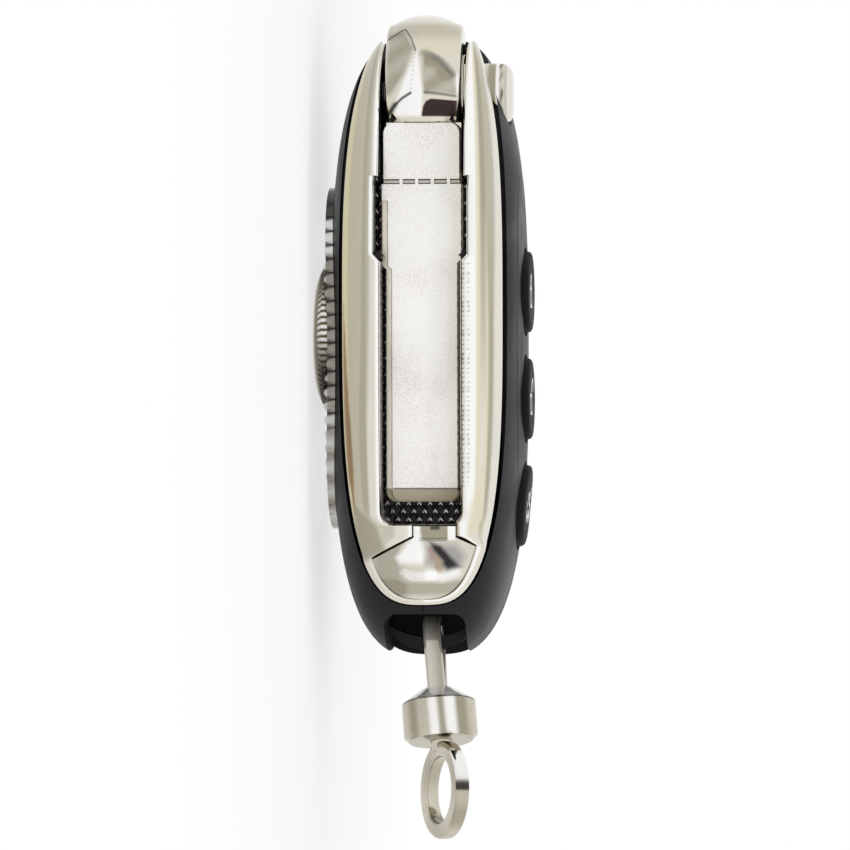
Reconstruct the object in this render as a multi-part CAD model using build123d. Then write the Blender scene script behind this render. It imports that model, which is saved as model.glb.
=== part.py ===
from build123d import *
import math
import os

# A folding key remote lying on its back. X runs from the pivot head (-X) to the key ring (+X),
# the folded blade lies in the slot on the -Y side, and the three buttons face up (+Z).
# The origin lies on the flat crest of the rear medallion, which the remote rests on.

# Body envelope: |x/a|^n + |y/b|^n + |z/c|^n = 1, in millimetres
mid_z = 13.4
body_middle_x = 0.6
body_half_length = 37.1
body_half_width = 18.5
body_half_height = 11.35
body_power = 3.0
crest_level = 0.985

# Running fit, and how far cutters reach past what they cut
fit = 0.05
over = 1.0
far = 60.0

# Shell walls
end_wall_head_x = -17.0
end_wall_tail_x = 29.5
side_wall = 1.3
slot_wall = 1.0
face_wall = 2.95

# Bright side frame and its tail cap
frame_middle_x = -3.5
frame_half_length = 34.6
frame_half_width = 9.8
frame_skin = 1.2
frame_proud = 0.35
frame_back_y = -11.0
arm_turn_x = -20.0
arm_back = (-29.0, -8.2)
arm_end = (-38.5, 3.0)
cap_inset_length = 0.8
cap_inset_width = 1.5
cap_neck_low = -0.9
cap_neck_high = 4.1
cap_neck_length = 1.4
cap_low_corner = (4.3, -6.6)
cap_high_corner = (3.0, 7.6)
cap_gap = 0.08

# Blade slot and its knurled liner
slot_wide_half = 5.75
slot_narrow_half = 4.9
slot_start_x = -19.4
slot_step_x = -9.0
slot_end_x = 21.7
slot_corner = 1.6
tray_wall = 0.9
tray_floor = 0.9
blade_tray_gap = 0.3

# Pivot head
pivot_x = -29.0
pivot_y = -5.4
head_radius = 9.4
head_half_height = 4.4
head_crown = 1.5
head_room_gap = 0.3
head_side_gap = 0.5
arm_side_gap = 0.8
arm_opening_run = 0.4
head_web = 1.8
head_cavity_radius = 5.0
stop_gap = 0.3

# Key blade, lying flat side out
blade_thickness = 2.6
blade_offset = 5.8
tang_length = 6.0
tang_half_width = 3.2
tang_thickness = 2.1
root_start_x = -25.3
root_end_x = -18.7
root_half_width = 4.62
root_corner = 1.3
groove_width = 0.6
groove_depth = 0.4
upper_half_width = 4.8
upper_end_x = -9.3
shoulder_stagger = 0.7
lower_half_width = 4.33
blade_tip_x = 19.0
tip_bevel_length = 1.6
tip_bevel_depth = 1.0
tip_corner = 1.2
rebate_width = 0.75
rebate_depth = 0.5
rebate_start_x = -16.2

# Roll pin and pivot axle
roll_pin_radius = 0.6
roll_pin_half_length = 3.9
roll_pin_from_pivot = (0.5, -6.85)
axle_radius = 1.6
axle_depth = 3.0
axle_top = 4.2
axle_chamfer = 0.3
press_gap = 0.02

# Release button and its spring
release_radius = 3.65
release_top = 10.3
release_dome = 1.5
release_flange_radius = 4.7
release_flange_thickness = 1.2
release_travel = 1.6
release_flange_gap = 0.3
release_axle_gap = 0.15
release_bore_top = 6.4
lug_reach = 6.2
lug_width = 2.0
lug_height = 0.8
lug_end_gap = 0.1
lug_room = 0.4
spring_wire = 0.7
spring_mean_radius = 3.9
spring_turns = 3.5

# Three push buttons
button_places = {"upper_button": -5.8, "middle_button": 6.9, "lower_button": 19.6}
button_half_length = 4.85
button_half_width = 7.2
button_proud = 0.75
button_hole_gap = 0.2
button_travel = 0.4
flange_width = 0.7
flange_thickness = 0.8
flange_gap = 0.1
flange_room = 0.25
flange_room_below = 1.0
well_gap = 0.45
well_depth = 0.95

# Circuit board, switches, cell and contacts
board_low_x = -13.5
board_high_x = 24.5
board_low_y = -8.4
board_high_y = 10.5
board_corner = 4.0
board_thickness = 1.0
switch_size = 4.2
switch_body = 1.0
plunger_radius = 1.1
plunger_height = 0.4
cell_radius = 8.0
cell_thickness = 3.2
cell_middle = (12.0, 1.0)
cell_edge = 0.4
contact_strip = 0.5
contact_rise = 0.7
contact_length = 9.0
contact_leg = 3.0
contact_half_width = 1.5
clip_width = 5.0
clip_gap = 0.4
chip_size = 5.0
chip_height = 1.0
chip_x = -6.0
post_radius = 1.3
post_inset = 2.2

# Shell screws
screw_places = [(-14.2, 12.0), (26.8, 9.6)]
screw_radius = 1.0
screw_head_radius = 1.9
screw_head_height = 1.2
screw_length = 8.5
screw_seat_z = 6.6
screw_end_gap = 0.5
boss_radius = 2.7
screw_clearance = 0.15
drive_length = 2.2
drive_width = 0.5
drive_depth = 0.4

# Rear grip plate and medallion
plate_middle_x = 2.0
plate_half_length = 20.3
plate_half_width = 12.0
plate_thickness = 0.85
plate_power = 2.2
plate_edge_drop = 3.0
rib_pitch = 1.65
rib_groove = 0.5
rib_depth = 0.35
rib_margin = 0.8
medallion_x = -0.5
medallion_half_length = 8.7
medallion_half_width = 10.4
medallion_flat_length = 6.0
medallion_flat_width = 8.0
medallion_rim_z = 1.15
dome_level = 0.3
dome_length_share = 0.86
dome_width_share = 0.9
seat_gap = 0.03

# Key ring swivel
recess_half_width = 4.8
recess_start_x = 32.1
recess_corner = 1.4
recess_back_y = 5.0
bar_edge_side_x = 33.7
bar_edge_middle_x = 35.2
bar_end_side_x = 34.6
bar_end_middle_x = 36.8
bar_half_width = 1.85
bar_edge_over = 0.1
bail_pivot_x = 36.1
bail_inner_radius = 2.35
bail_thickness = 1.3
bail_width = 2.1
bail_shoulder = 0.5
bail_tip_x = 42.5
bail_tip_inner = 0.7
collar_start_x = 41.5
collar_radius = 2.0
collar_step = 0.1
drum_start_x = 43.3
drum_end_x = 47.9
drum_radius = 4.4
drum_chamfer = 0.6
drum_wall = 1.0
drum_cavity_radius = 2.6
plug_length = 0.9
shank_radius = 1.25
shank_head_radius = 2.3
shank_head_length = 1.0
shank_root = 0.8
drum_eye_gap = 0.15
eye_outer_radius = 5.8
eye_inner_radius = 3.9
eye_width = 1.8
eye_edge = 0.35
eye_tilt = 27.0
swivel_lean = 16.0
swivel_rise = 5.0
swivel_shift = 0.4

# Levels and places that follow from the sizes above
blade_inner_y = pivot_y - blade_offset
blade_outer_y = blade_inner_y - blade_thickness
tray_inner_y = blade_inner_y + blade_tray_gap
tray_back_y = tray_inner_y + tray_floor
cheek_half = head_half_height + head_side_gap
room_radius = head_radius + head_room_gap
stop_y = pivot_y + blade_offset + blade_thickness + stop_gap
cavity_top_z = mid_z + body_half_height - face_wall
flange_top_z = cavity_top_z - flange_gap
flange_low_z = flange_top_z - flange_thickness
plunger_top_z = flange_low_z - button_travel - fit
board_top_z = plunger_top_z - plunger_height - switch_body
board_low_z = board_top_z - board_thickness
cell_top_z = board_low_z - contact_rise
cell_low_z = cell_top_z - cell_thickness
flange_top_release = cheek_half - release_flange_gap
drum_cavity_end_x = drum_end_x - drum_wall
eye_middle_x = drum_end_x + drum_eye_gap + eye_outer_radius

os.makedirs("parts", exist_ok=True)


def save(shape, name):
    """Writes one piece, and keeps groups of loose solids as they are."""
    export_step(shape, f"parts/{name}.step")


def rounded_loop(half_x, half_y, power=body_power, count=32):
    """Points of |x/a|^n + |y/b|^n = 1 at even angles."""
    points = []
    for step in range(count):
        angle = 2 * math.pi * step / count
        across, up = math.cos(angle), math.sin(angle)
        reach = (abs(across) ** power + abs(up) ** power) ** (-1 / power)
        points.append((half_x * reach * across, half_y * reach * up))
    return points


def rounded_face(half_x, half_y, power=body_power):
    """A flat face inside one rounded loop."""
    return make_face(Spline(rounded_loop(half_x, half_y, power), periodic=True))


def pebble(grow):
    """The envelope grown by a distance: stacked outlines, each scaled by (1 - |z/c|^n)^(1/n)."""
    shares = [0.0, 0.22, 0.42, 0.6, 0.74, 0.85, 0.93, crest_level]
    levels = [-share for share in reversed(shares[1:])] + shares
    sections = []
    for level in levels:
        scale = (1 - abs(level) ** body_power) ** (1 / body_power)
        height = mid_z + (body_half_height + grow) * level / crest_level
        loop = rounded_face((body_half_length + grow) * scale, (body_half_width + grow) * scale)
        sections.append(Pos(body_middle_x, 0, height) * loop)
    return loft(sections)


def through_y(sketch, low_y, high_y):
    """A sketch drawn in X and Z, carried along Y."""
    return extrude(Plane.XZ.offset(-high_y) * sketch, amount=high_y - low_y)


def block(low, high):
    """A box between two corners."""
    size = [b - a for a, b in zip(low, high)]
    middle = [(a + b) / 2 for a, b in zip(low, high)]
    return Pos(*middle) * Box(*size)


def disc(x, y, radius, low_z, high_z):
    """An upright cylinder between two heights."""
    return Pos(x, y, (low_z + high_z) / 2) * Cylinder(radius, high_z - low_z)


def rod(radius, low_x, high_x):
    """A cylinder along X through the swivel axis."""
    return Pos((low_x + high_x) / 2, 0, mid_z) * (Rot(0, 90, 0) * Cylinder(radius, high_x - low_x))


def oval_prism(x, half_x, half_y, low_z, high_z, y=0.0):
    """An upright prism on an ellipse."""
    return extrude(Pos(x, y, low_z) * Ellipse(half_x, half_y), amount=high_z - low_z)


# The side frame's region and the slot that it leaves open

def frame_region(grow):
    """Where the frame lies, seen from the slot side, with its back swept round the head."""
    loop = rounded_face(frame_half_length + grow, frame_half_width + grow)
    outline = Pos(frame_middle_x, mid_z) * loop
    back = frame_back_y + grow
    plan = Polyline(
        (-far, -far), (far, -far), (far, back), (arm_turn_x, back),
        (arm_back[0], arm_back[1] + grow),
        (arm_end[0], arm_end[1] + grow),
        (-far, arm_end[1] + grow),
        close=True,
    )
    return through_y(outline, -far, far) & extrude(Pos(0, 0, -far) * make_face(plan), amount=2 * far)


def slot_prism(grow, low_y, high_y, start_x=slot_start_x):
    """The slot's stepped outline with rounded ends, grown all round."""
    end_x = slot_end_x + grow
    narrow = slot_narrow_half + grow
    wide = slot_wide_half + grow
    middle_x = (start_x + end_x) / 2
    low_part = Pos(middle_x, mid_z) * Rectangle(end_x - start_x, 2 * narrow)
    low_part = fillet(low_part.vertices().group_by(Axis.X)[-1], slot_corner + grow)
    wide_part = Pos((start_x + slot_step_x) / 2, mid_z) * Rectangle(slot_step_x - start_x, 2 * wide)
    wide_part = chamfer(wide_part.vertices().group_by(Axis.X)[-1], wide - narrow)
    return through_y(low_part + wide_part, low_y, high_y)


def cap_region(grow):
    """The spade outline of the tail cap: neck, two shoulders and the rim below."""
    rim = Pos(frame_middle_x, mid_z) * rounded_face(
        frame_half_length - cap_inset_length + grow, frame_half_width - cap_inset_width + grow
    )
    neck_x = slot_end_x - grow
    shoulder_x = neck_x + cap_neck_length
    neck_start_x = neck_x - over
    spade = Polyline(
        (neck_start_x, mid_z + cap_neck_low - grow),
        (shoulder_x, mid_z + cap_neck_low - grow),
        (neck_x + cap_low_corner[0], mid_z + cap_low_corner[1] - grow),
        (neck_x + cap_low_corner[0], mid_z - far),
        (far, mid_z - far),
        (far, mid_z + far),
        (neck_x + cap_high_corner[0], mid_z + far),
        (neck_x + cap_high_corner[0], mid_z + cap_high_corner[1] + grow),
        (shoulder_x, mid_z + cap_neck_high + grow),
        (neck_start_x, mid_z + cap_neck_high + grow),
        close=True,
    )
    return through_y(rim & make_face(spade), -far, far)


def head_opening(half):
    """The open end between the frame's two arms, where the head turns."""
    return block((-far, -far, mid_z - half), (slot_start_x + arm_opening_run, far, mid_z + half))


envelope = pebble(0)
frame_outside = pebble(frame_proud)
frame_inside = pebble(-frame_skin)
under_frame = pebble(-frame_skin - fit)

frame_shape = (frame_outside - frame_inside) & frame_region(0)
chrome_frame = frame_shape - slot_prism(0, -far, frame_back_y + over) - cap_region(cap_gap)
chrome_frame = chrome_frame - head_opening(head_half_height + arm_side_gap)
chrome_frame = chrome_frame - disc(pivot_x, pivot_y, release_radius + 2 * arm_side_gap, mid_z, far)
save(chrome_frame, "chrome_frame")

tail_cap = frame_shape & cap_region(0)
tail_cap = tail_cap - slot_prism(cap_gap, -far, frame_back_y + over)
save(tail_cap, "tail_cap")

# Knurled liner of the blade slot
tray = slot_prism(tray_wall, -far, tray_back_y)
tray = tray - slot_prism(0, -far, tray_inner_y, slot_start_x - far)
blade_tray = tray & pebble(-frame_skin - seat_gap)
save(blade_tray, "blade_tray")


# Shell halves

def well(x):
    """The scooped well round one button, cut to a depth below the local surface."""
    half_x = button_half_length + well_gap
    half_y = button_half_width + 2 * well_gap
    mouth = oval_prism(x, half_x, half_y, mid_z, mid_z + far)
    return mouth - pebble(-well_depth)


def flange_space(x):
    """Room for a button's flange and its travel, under the shell's face."""
    grow = flange_width + flange_room
    return oval_prism(
        x,
        button_half_length + grow,
        button_half_width + grow,
        flange_low_z - flange_room_below,
        flange_top_z + flange_gap,
    )


cavity_scale = (1 - (1 - face_wall / body_half_height) ** body_power) ** (1 / body_power)
cavity_plan = Pos(body_middle_x, 0) * rounded_face(
    body_half_length * cavity_scale - side_wall, body_half_width * cavity_scale - side_wall
)
cavity_limits = Pos((end_wall_head_x + end_wall_tail_x) / 2, tray_back_y + slot_wall + far) * Rectangle(
    end_wall_tail_x - end_wall_head_x, 2 * far
)
cavity_depth = body_half_height - face_wall
frame_pocket = frame_region(fit) - under_frame
slot_pocket = slot_prism(tray_wall + fit, -far, tray_back_y + fit)

# Room for the head to turn, for the blade to swing round, and the wall it stops on
head_room = disc(pivot_x, pivot_y, room_radius, mid_z - cheek_half, mid_z + cheek_half)
head_room = head_room + block(
    (-far, -far, mid_z - cheek_half), (pivot_x, stop_y, mid_z + cheek_half)
)
head_room = head_room + block(
    (pivot_x - over, -far, mid_z - cheek_half), (pivot_x + room_radius, pivot_y, mid_z + cheek_half)
)


def recess():
    """The key ring recess: a pocket from the slot side to a wall behind, with a bar left in it."""
    pocket = Pos((recess_start_x + far) / 2, mid_z) * Rectangle(far - recess_start_x, 2 * recess_half_width)
    pocket = fillet(pocket.vertices().group_by(Axis.X)[0], recess_corner)
    low_z = mid_z - recess_half_width - bar_edge_over
    high_z = mid_z + recess_half_width + bar_edge_over
    bar_edge = ThreePointArc(
        (bar_edge_side_x, low_z), (bar_edge_middle_x, mid_z), (bar_edge_side_x, high_z)
    )
    bar_end = ThreePointArc((bar_end_side_x, low_z), (bar_end_middle_x, mid_z), (bar_end_side_x, high_z))
    low_side = Line((bar_edge_side_x, low_z), (bar_end_side_x, low_z))
    high_side = Line((bar_edge_side_x, high_z), (bar_end_side_x, high_z))
    bar_plan = make_face(bar_edge + bar_end + low_side + high_side)
    bar = through_y(bar_plan, -bar_half_width, bar_half_width)
    return through_y(pocket, -far, recess_back_y) - bar


ring_recess = recess()


post_places = [
    (x, y)
    for x in (board_low_x + post_inset, board_high_x - post_inset)
    for y in (board_low_y + post_inset, board_high_y - post_inset)
]


def shell_half(low_z, high_z, pillars):
    """The hollow envelope between two levels, less the frame, liner, head room and recess."""
    half = envelope & block((-far, -far, low_z), (far, far, high_z))
    half = half - frame_pocket - slot_pocket
    floor_z = max(low_z - over, mid_z - cavity_depth)
    roof_z = min(high_z + over, mid_z + cavity_depth)
    hollow = extrude(Pos(0, 0, floor_z) * (cavity_plan & cavity_limits), amount=roof_z - floor_z)
    for place_x, place_y, radius in pillars:
        hollow = hollow - disc(place_x, place_y, radius, -far, far)
    return half - hollow - head_room - ring_recess


screw_pillars = [(x, y, boss_radius) for x, y in screw_places]
post_pillars = [(x, y, post_radius) for x, y in post_places]
front_shell = shell_half(mid_z, far, screw_pillars)
rear_shell = shell_half(-far, mid_z, screw_pillars + post_pillars)

screw_hole_top_z = screw_seat_z + screw_length + screw_end_gap
for place_x, place_y in screw_places:
    front_shell = front_shell - disc(
        place_x, place_y, screw_radius + press_gap, mid_z - over, screw_hole_top_z
    )
    rear_shell = rear_shell - disc(
        place_x, place_y, screw_radius + screw_clearance, -over, mid_z + over
    )
    rear_shell = rear_shell - disc(
        place_x, place_y, screw_head_radius + screw_clearance, -over, screw_seat_z
    )
for place_x, place_y in post_places:
    rear_shell = rear_shell + disc(place_x, place_y, post_radius, mid_z - over, board_low_z)

for place_x in button_places.values():
    front_shell = front_shell - well(place_x)
    front_shell = front_shell - oval_prism(
        place_x,
        button_half_length + button_hole_gap,
        button_half_width + button_hole_gap,
        flange_low_z,
        mid_z + far,
    )
    front_shell = front_shell - flange_space(place_x)
front_shell = front_shell - disc(pivot_x, pivot_y, release_radius + fit, mid_z, mid_z + far)
rear_shell = rear_shell - disc(
    pivot_x, pivot_y, axle_radius + press_gap, mid_z - cheek_half - axle_depth, mid_z
)
save(front_shell, "front_shell")
save(rear_shell, "rear_shell")

# Pivot head: a crowned barrel, bored from the button side, with a seat and pocket for the blade
edge_radius = head_radius - head_crown
straight = Polyline(
    (edge_radius, head_half_height),
    (0, head_half_height),
    (0, -head_half_height),
    (edge_radius, -head_half_height),
)
crown = ThreePointArc(
    (edge_radius, -head_half_height), (head_radius, 0), (edge_radius, head_half_height)
)
profile = make_face(straight + crown)
barrel = Pos(pivot_x, pivot_y, mid_z) * revolve(Plane.XZ * profile, Axis.Z)
cavity_floor_z = mid_z - head_half_height + head_web
flip_head = barrel - disc(pivot_x, pivot_y, head_cavity_radius, cavity_floor_z, mid_z + far)
flip_head = flip_head - disc(pivot_x, pivot_y, axle_radius + fit, mid_z - far, mid_z)
lug_room_low = mid_z + flange_top_release - release_flange_thickness - release_travel - lug_room
flip_head = flip_head - block(
    (pivot_x - lug_reach - lug_end_gap, pivot_y - lug_width / 2 - fit, lug_room_low),
    (pivot_x + lug_reach + lug_end_gap, pivot_y + lug_width / 2 + fit, mid_z + far),
)
seat = block((root_start_x - fit, -far, mid_z - far), (far, blade_inner_y + fit, mid_z + far))
tang_start_x = root_start_x - tang_length
tang_pocket = block(
    (tang_start_x - fit, blade_inner_y - tang_thickness - fit, mid_z - tang_half_width - fit),
    (root_start_x + over, blade_inner_y + fit, mid_z + tang_half_width + fit),
)
roll_pin_x = pivot_x + roll_pin_from_pivot[0]
roll_pin_y = pivot_y + roll_pin_from_pivot[1]
pin_bore = disc(roll_pin_x, roll_pin_y, roll_pin_radius + press_gap, mid_z - far, mid_z + far)
flip_head = flip_head - seat - tang_pocket - pin_bore
save(flip_head, "flip_head")


def blade_outline(low_x, high_x, half, y_low, y_high, corner=0.0, end=-1):
    """One straight stretch of the blade, with rounded corners at one end if asked."""
    flat = Pos((low_x + high_x) / 2, mid_z) * Rectangle(high_x - low_x, 2 * half)
    if corner > 0:
        flat = fillet(flat.vertices().group_by(Axis.X)[end], corner)
    return through_y(flat, y_low, y_high)


key_blade = blade_outline(
    root_start_x, root_end_x, root_half_width, blade_outer_y, blade_inner_y, root_corner, 0
)
key_blade = key_blade + blade_outline(
    root_end_x, root_end_x + groove_width, root_half_width, blade_outer_y + groove_depth, blade_inner_y
)
key_blade = key_blade + blade_outline(
    root_end_x + groove_width, upper_end_x, upper_half_width, blade_outer_y, blade_inner_y
)
key_blade = key_blade + block(
    (upper_end_x - over, blade_outer_y, mid_z - upper_half_width),
    (upper_end_x + shoulder_stagger, blade_inner_y, mid_z),
)
key_blade = key_blade + blade_outline(
    upper_end_x, blade_tip_x, lower_half_width, blade_outer_y, blade_inner_y, tip_corner
)
key_blade = key_blade + block(
    (tang_start_x, blade_inner_y - tang_thickness, mid_z - tang_half_width),
    (root_start_x + over, blade_inner_y, mid_z + tang_half_width),
)
tip_cut = Polyline(
    (blade_tip_x - tip_bevel_length, blade_outer_y),
    (blade_tip_x, blade_outer_y + tip_bevel_depth),
    (blade_tip_x + over, blade_outer_y + tip_bevel_depth),
    (blade_tip_x + over, blade_outer_y - over),
    (blade_tip_x - tip_bevel_length, blade_outer_y - over),
    close=True,
)
key_blade = key_blade - extrude(Pos(0, 0, mid_z - far) * make_face(tip_cut), amount=2 * far)
key_blade = key_blade - block(
    (rebate_start_x, blade_outer_y - over, mid_z - lower_half_width - over),
    (blade_tip_x + over, blade_outer_y + rebate_depth, mid_z - lower_half_width + rebate_width),
)
key_blade = key_blade - pin_bore
save(key_blade, "key_blade")

blade_roll_pin = disc(
    roll_pin_x, roll_pin_y, roll_pin_radius, mid_z - roll_pin_half_length, mid_z + roll_pin_half_length
)
save(blade_roll_pin, "blade_roll_pin")

pivot_axle = disc(pivot_x, pivot_y, axle_radius, mid_z - cheek_half - axle_depth, mid_z + axle_top)
save(chamfer(pivot_axle.edges().group_by(Axis.Z)[-1], axle_chamfer), "pivot_axle")

# Release button: domed cap, round flange and two lugs that slide in the head
flange_top = mid_z + flange_top_release
flange_low = flange_top - release_flange_thickness
release_button = disc(pivot_x, pivot_y, release_radius, flange_low, mid_z + release_top)
release_button = fillet(release_button.edges().group_by(Axis.Z)[-1], release_dome)
release_button = release_button + disc(pivot_x, pivot_y, release_flange_radius, flange_low, flange_top)
lugs = block(
    (pivot_x - lug_reach, pivot_y - lug_width / 2, flange_low),
    (pivot_x + lug_reach, pivot_y + lug_width / 2, flange_low + lug_height),
)
release_button = release_button + lugs
release_button = release_button - disc(
    pivot_x, pivot_y, axle_radius + release_axle_gap, flange_low - over, mid_z + release_bore_top
)
save(release_button, "release_button")

# Coil spring between the head's floor and the button's flange
spring_low = cavity_floor_z + fit + spring_wire / 2
spring_high = flange_low - fit - spring_wire / 2
spring_height = spring_high - spring_low
coil = Helix(pitch=spring_height / spring_turns, height=spring_height, radius=spring_mean_radius)
wire_section = Plane(origin=coil @ 0, z_dir=coil % 0) * Circle(spring_wire / 2)
head_spring = Pos(pivot_x, pivot_y, spring_low) * sweep(wire_section, path=coil, is_frenet=True)
save(head_spring, "head_spring")

# Push buttons: each cap follows the shell's surface, a little proud of it
button_top = pebble(button_proud)
for name, place_x in button_places.items():
    cap = oval_prism(place_x, button_half_length, button_half_width, flange_low_z, mid_z + far)
    cap = cap & button_top
    flange = oval_prism(
        place_x,
        button_half_length + flange_width,
        button_half_width + flange_width,
        flange_low_z,
        flange_top_z,
    )
    save(cap + flange, name)

# Circuit board and what it carries
board_size = (board_high_x - board_low_x, board_high_y - board_low_y)
board_middle = ((board_low_x + board_high_x) / 2, (board_low_y + board_high_y) / 2)
board_face = Pos(*board_middle, board_low_z) * RectangleRounded(*board_size, board_corner)
circuit_board = extrude(board_face, amount=board_thickness)
save(circuit_board, "circuit_board")

switches = []
for place_x in button_places.values():
    switch = Pos(place_x, 0, board_top_z + switch_body / 2) * Box(switch_size, switch_size, switch_body)
    switches.append(switch + disc(place_x, 0, plunger_radius, board_top_z + switch_body, plunger_top_z))
save(Compound(children=[switch.solid() for switch in switches]), "tactile_switches")

cell_x, cell_y = cell_middle
coin_cell = disc(cell_x, cell_y, cell_radius, cell_low_z, cell_top_z)
coin_cell = fillet(coin_cell.edges().group_by(Axis.Z)[0], cell_edge)
save(coin_cell, "coin_cell")

clip_half_y = cell_radius + clip_gap
cell_clip = block(
    (cell_x - clip_width / 2, cell_y - clip_half_y - contact_strip, cell_low_z - contact_strip),
    (cell_x + clip_width / 2, cell_y + clip_half_y + contact_strip, board_low_z),
) - block(
    (cell_x - clip_width, cell_y - clip_half_y, cell_low_z),
    (cell_x + clip_width, cell_y + clip_half_y, board_low_z + over),
)
save(cell_clip, "cell_clip")

contact_half = contact_strip / 2
contact_low_y = cell_y - contact_half_width
contact_high_y = cell_y + contact_half_width
solder_foot = block(
    (cell_x, contact_low_y, board_low_z - contact_half),
    (cell_x + contact_leg, contact_high_y, board_low_z),
)
contact_riser = block(
    (cell_x, contact_low_y, cell_top_z), (cell_x + contact_half, contact_high_y, board_low_z)
)
spring_leaf = block(
    (cell_x - contact_length / 2, contact_low_y, cell_top_z),
    (cell_x, contact_high_y, cell_top_z + contact_half),
)
save(solder_foot + contact_riser + spring_leaf, "cell_contact")

radio_chip = block(
    (chip_x - chip_size / 2, -chip_size / 2, board_low_z - chip_height),
    (chip_x + chip_size / 2, chip_size / 2, board_low_z),
)
save(radio_chip, "radio_chip")

# Shell screws, one node
screws = []
for place_x, place_y in screw_places:
    head = disc(place_x, place_y, screw_head_radius, screw_seat_z - screw_head_height, screw_seat_z)
    shank = disc(place_x, place_y, screw_radius, screw_seat_z, screw_seat_z + screw_length)
    head_face = Pos(place_x, place_y, screw_seat_z - screw_head_height)
    drive = head_face * Box(drive_length, drive_width, 2 * drive_depth)
    cross = head_face * Box(drive_width, drive_length, 2 * drive_depth)
    screws.append(head + shank - drive - cross)
save(Compound(children=[screw.solid() for screw in screws]), "shell_screws")

# Rear grip plate with cross ribs, and the plain domed medallion in its middle

def belly_z(x, y, grow):
    """Height of the envelope's underside, grown by a distance, at one point."""
    out_x = abs(x - body_middle_x) / (body_half_length + grow)
    out_y = abs(y) / (body_half_width + grow)
    level = (1 - out_x**body_power - out_y**body_power) ** (1 / body_power)
    return mid_z - (body_half_height + grow) * min(level, crest_level) / crest_level


def rib_gap(x, steps=12):
    """The space between two ribs: its floor follows the belly across the plate."""
    half = plate_half_width + over
    places = [half * (2 * step / steps - 1) for step in range(steps + 1)]
    floor = [(y, belly_z(x, y, plate_thickness - rib_depth)) for y in places]
    outline = Polyline(*floor, (half, -far), (-half, -far), close=True)
    section = Plane((x - rib_groove / 2, 0, 0), x_dir=(0, 1, 0), z_dir=(1, 0, 0)) * make_face(outline)
    return extrude(section, amount=rib_groove)


rear_side = block((-far, -far, -far), (far, far, mid_z - plate_edge_drop))
plate_loop = rounded_face(plate_half_length, plate_half_width, plate_power)
plate_prism = extrude(Pos(plate_middle_x, 0, -far) * plate_loop, amount=far + mid_z)
grip_plate = (pebble(plate_thickness) - pebble(seat_gap)) & plate_prism & rear_side
grip_plate = grip_plate - oval_prism(
    medallion_x, medallion_half_length + fit, medallion_half_width + fit, -far, mid_z
)
rib_count = int((plate_half_length - rib_margin) / rib_pitch)
for step in range(-rib_count, rib_count + 1):
    grip_plate = grip_plate - rib_gap(plate_middle_x + step * rib_pitch)
save(grip_plate, "grip_plate")

dome_steps = [
    (0.0, medallion_flat_length, medallion_flat_width),
    (
        dome_level * medallion_rim_z,
        dome_length_share * medallion_half_length,
        dome_width_share * medallion_half_width,
    ),
    (medallion_rim_z, medallion_half_length, medallion_half_width),
]
dome_sections = [Pos(medallion_x, 0, z) * Ellipse(half_x, half_y) for z, half_x, half_y in dome_steps]
dome = loft(dome_sections, ruled=True)
medallion = dome + oval_prism(
    medallion_x, medallion_half_length, medallion_half_width, medallion_rim_z, mid_z
)
save(medallion - pebble(seat_gap), "medallion")

# Key ring swivel: bail, drum and eye. It is laid out along X, and then leans on the bar
swivel_place = (
    Pos(bail_pivot_x, 0, mid_z + swivel_shift) * Rot(0, -swivel_rise, 0)
    * Rot(0, 0, -swivel_lean) * Pos(-bail_pivot_x, 0, -mid_z)
)
outer_radius = bail_inner_radius + bail_thickness
shoulder_x = bail_pivot_x + bail_shoulder
bail_tip_outer = bail_tip_inner + bail_thickness


def bail_face(radius, tip):
    """A half disc round the bar, running on into a taper towards the drum."""
    arc = ThreePointArc((bail_pivot_x, radius), (bail_pivot_x - radius, 0), (bail_pivot_x, -radius))
    taper = Polyline(
        (bail_pivot_x, -radius), (shoulder_x, -radius), (bail_tip_x, -tip),
        (bail_tip_x, tip), (shoulder_x, radius), (bail_pivot_x, radius),
    )
    return make_face(arc + taper)


bail_plan = bail_face(outer_radius, bail_tip_outer) - bail_face(bail_inner_radius, bail_tip_inner)
bail_loop = extrude(Pos(0, 0, mid_z - bail_width / 2) * bail_plan, amount=bail_width)
collar = Pos((collar_start_x + drum_start_x) / 2, 0, mid_z) * (
    Rot(0, 90, 0) * Cone(collar_radius, drum_radius - collar_step, drum_start_x - collar_start_x)
)
plug = rod(drum_cavity_radius - press_gap, drum_start_x, drum_start_x + plug_length)
swivel_bail = bail_loop + collar + plug
save(swivel_place * swivel_bail, "swivel_bail")

drum = rod(drum_radius, drum_start_x, drum_end_x)
drum = chamfer(drum.edges().group_by(Axis.X)[-1], drum_chamfer)
drum = drum - rod(drum_cavity_radius, drum_start_x - over, drum_cavity_end_x)
drum = drum - rod(shank_radius + fit, drum_cavity_end_x - over, drum_end_x + over)
save(swivel_place * drum, "swivel_drum")

ring_flat = Circle(eye_outer_radius) - Circle(eye_inner_radius)
ring = extrude(Pos(0, 0, -eye_width / 2) * ring_flat, amount=eye_width)
ring = fillet(ring.edges(), eye_edge)
ring = Pos(eye_middle_x, 0, mid_z) * (Rot(-eye_tilt, 0, 0) * ring)
shank_start_x = drum_cavity_end_x - fit - shank_head_length
shank = rod(shank_radius, shank_start_x, eye_middle_x - eye_inner_radius - shank_root)
shank_head = rod(shank_head_radius, shank_start_x, shank_start_x + shank_head_length)
save(swivel_place * (ring + shank + shank_head), "swivel_eye")
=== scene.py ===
"""Looks for a folding key remote that lies on its back with its blade folded away.

Lengths inside the classes are millimetres in the part's own frame: X runs from the pivot head to
the key ring, the slot side faces -Y and the push buttons face +Z. make_piece turns them to metres.
"""

import logging
import math
from dataclasses import dataclass, field
from enum import Enum
from typing import Callable

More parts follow.
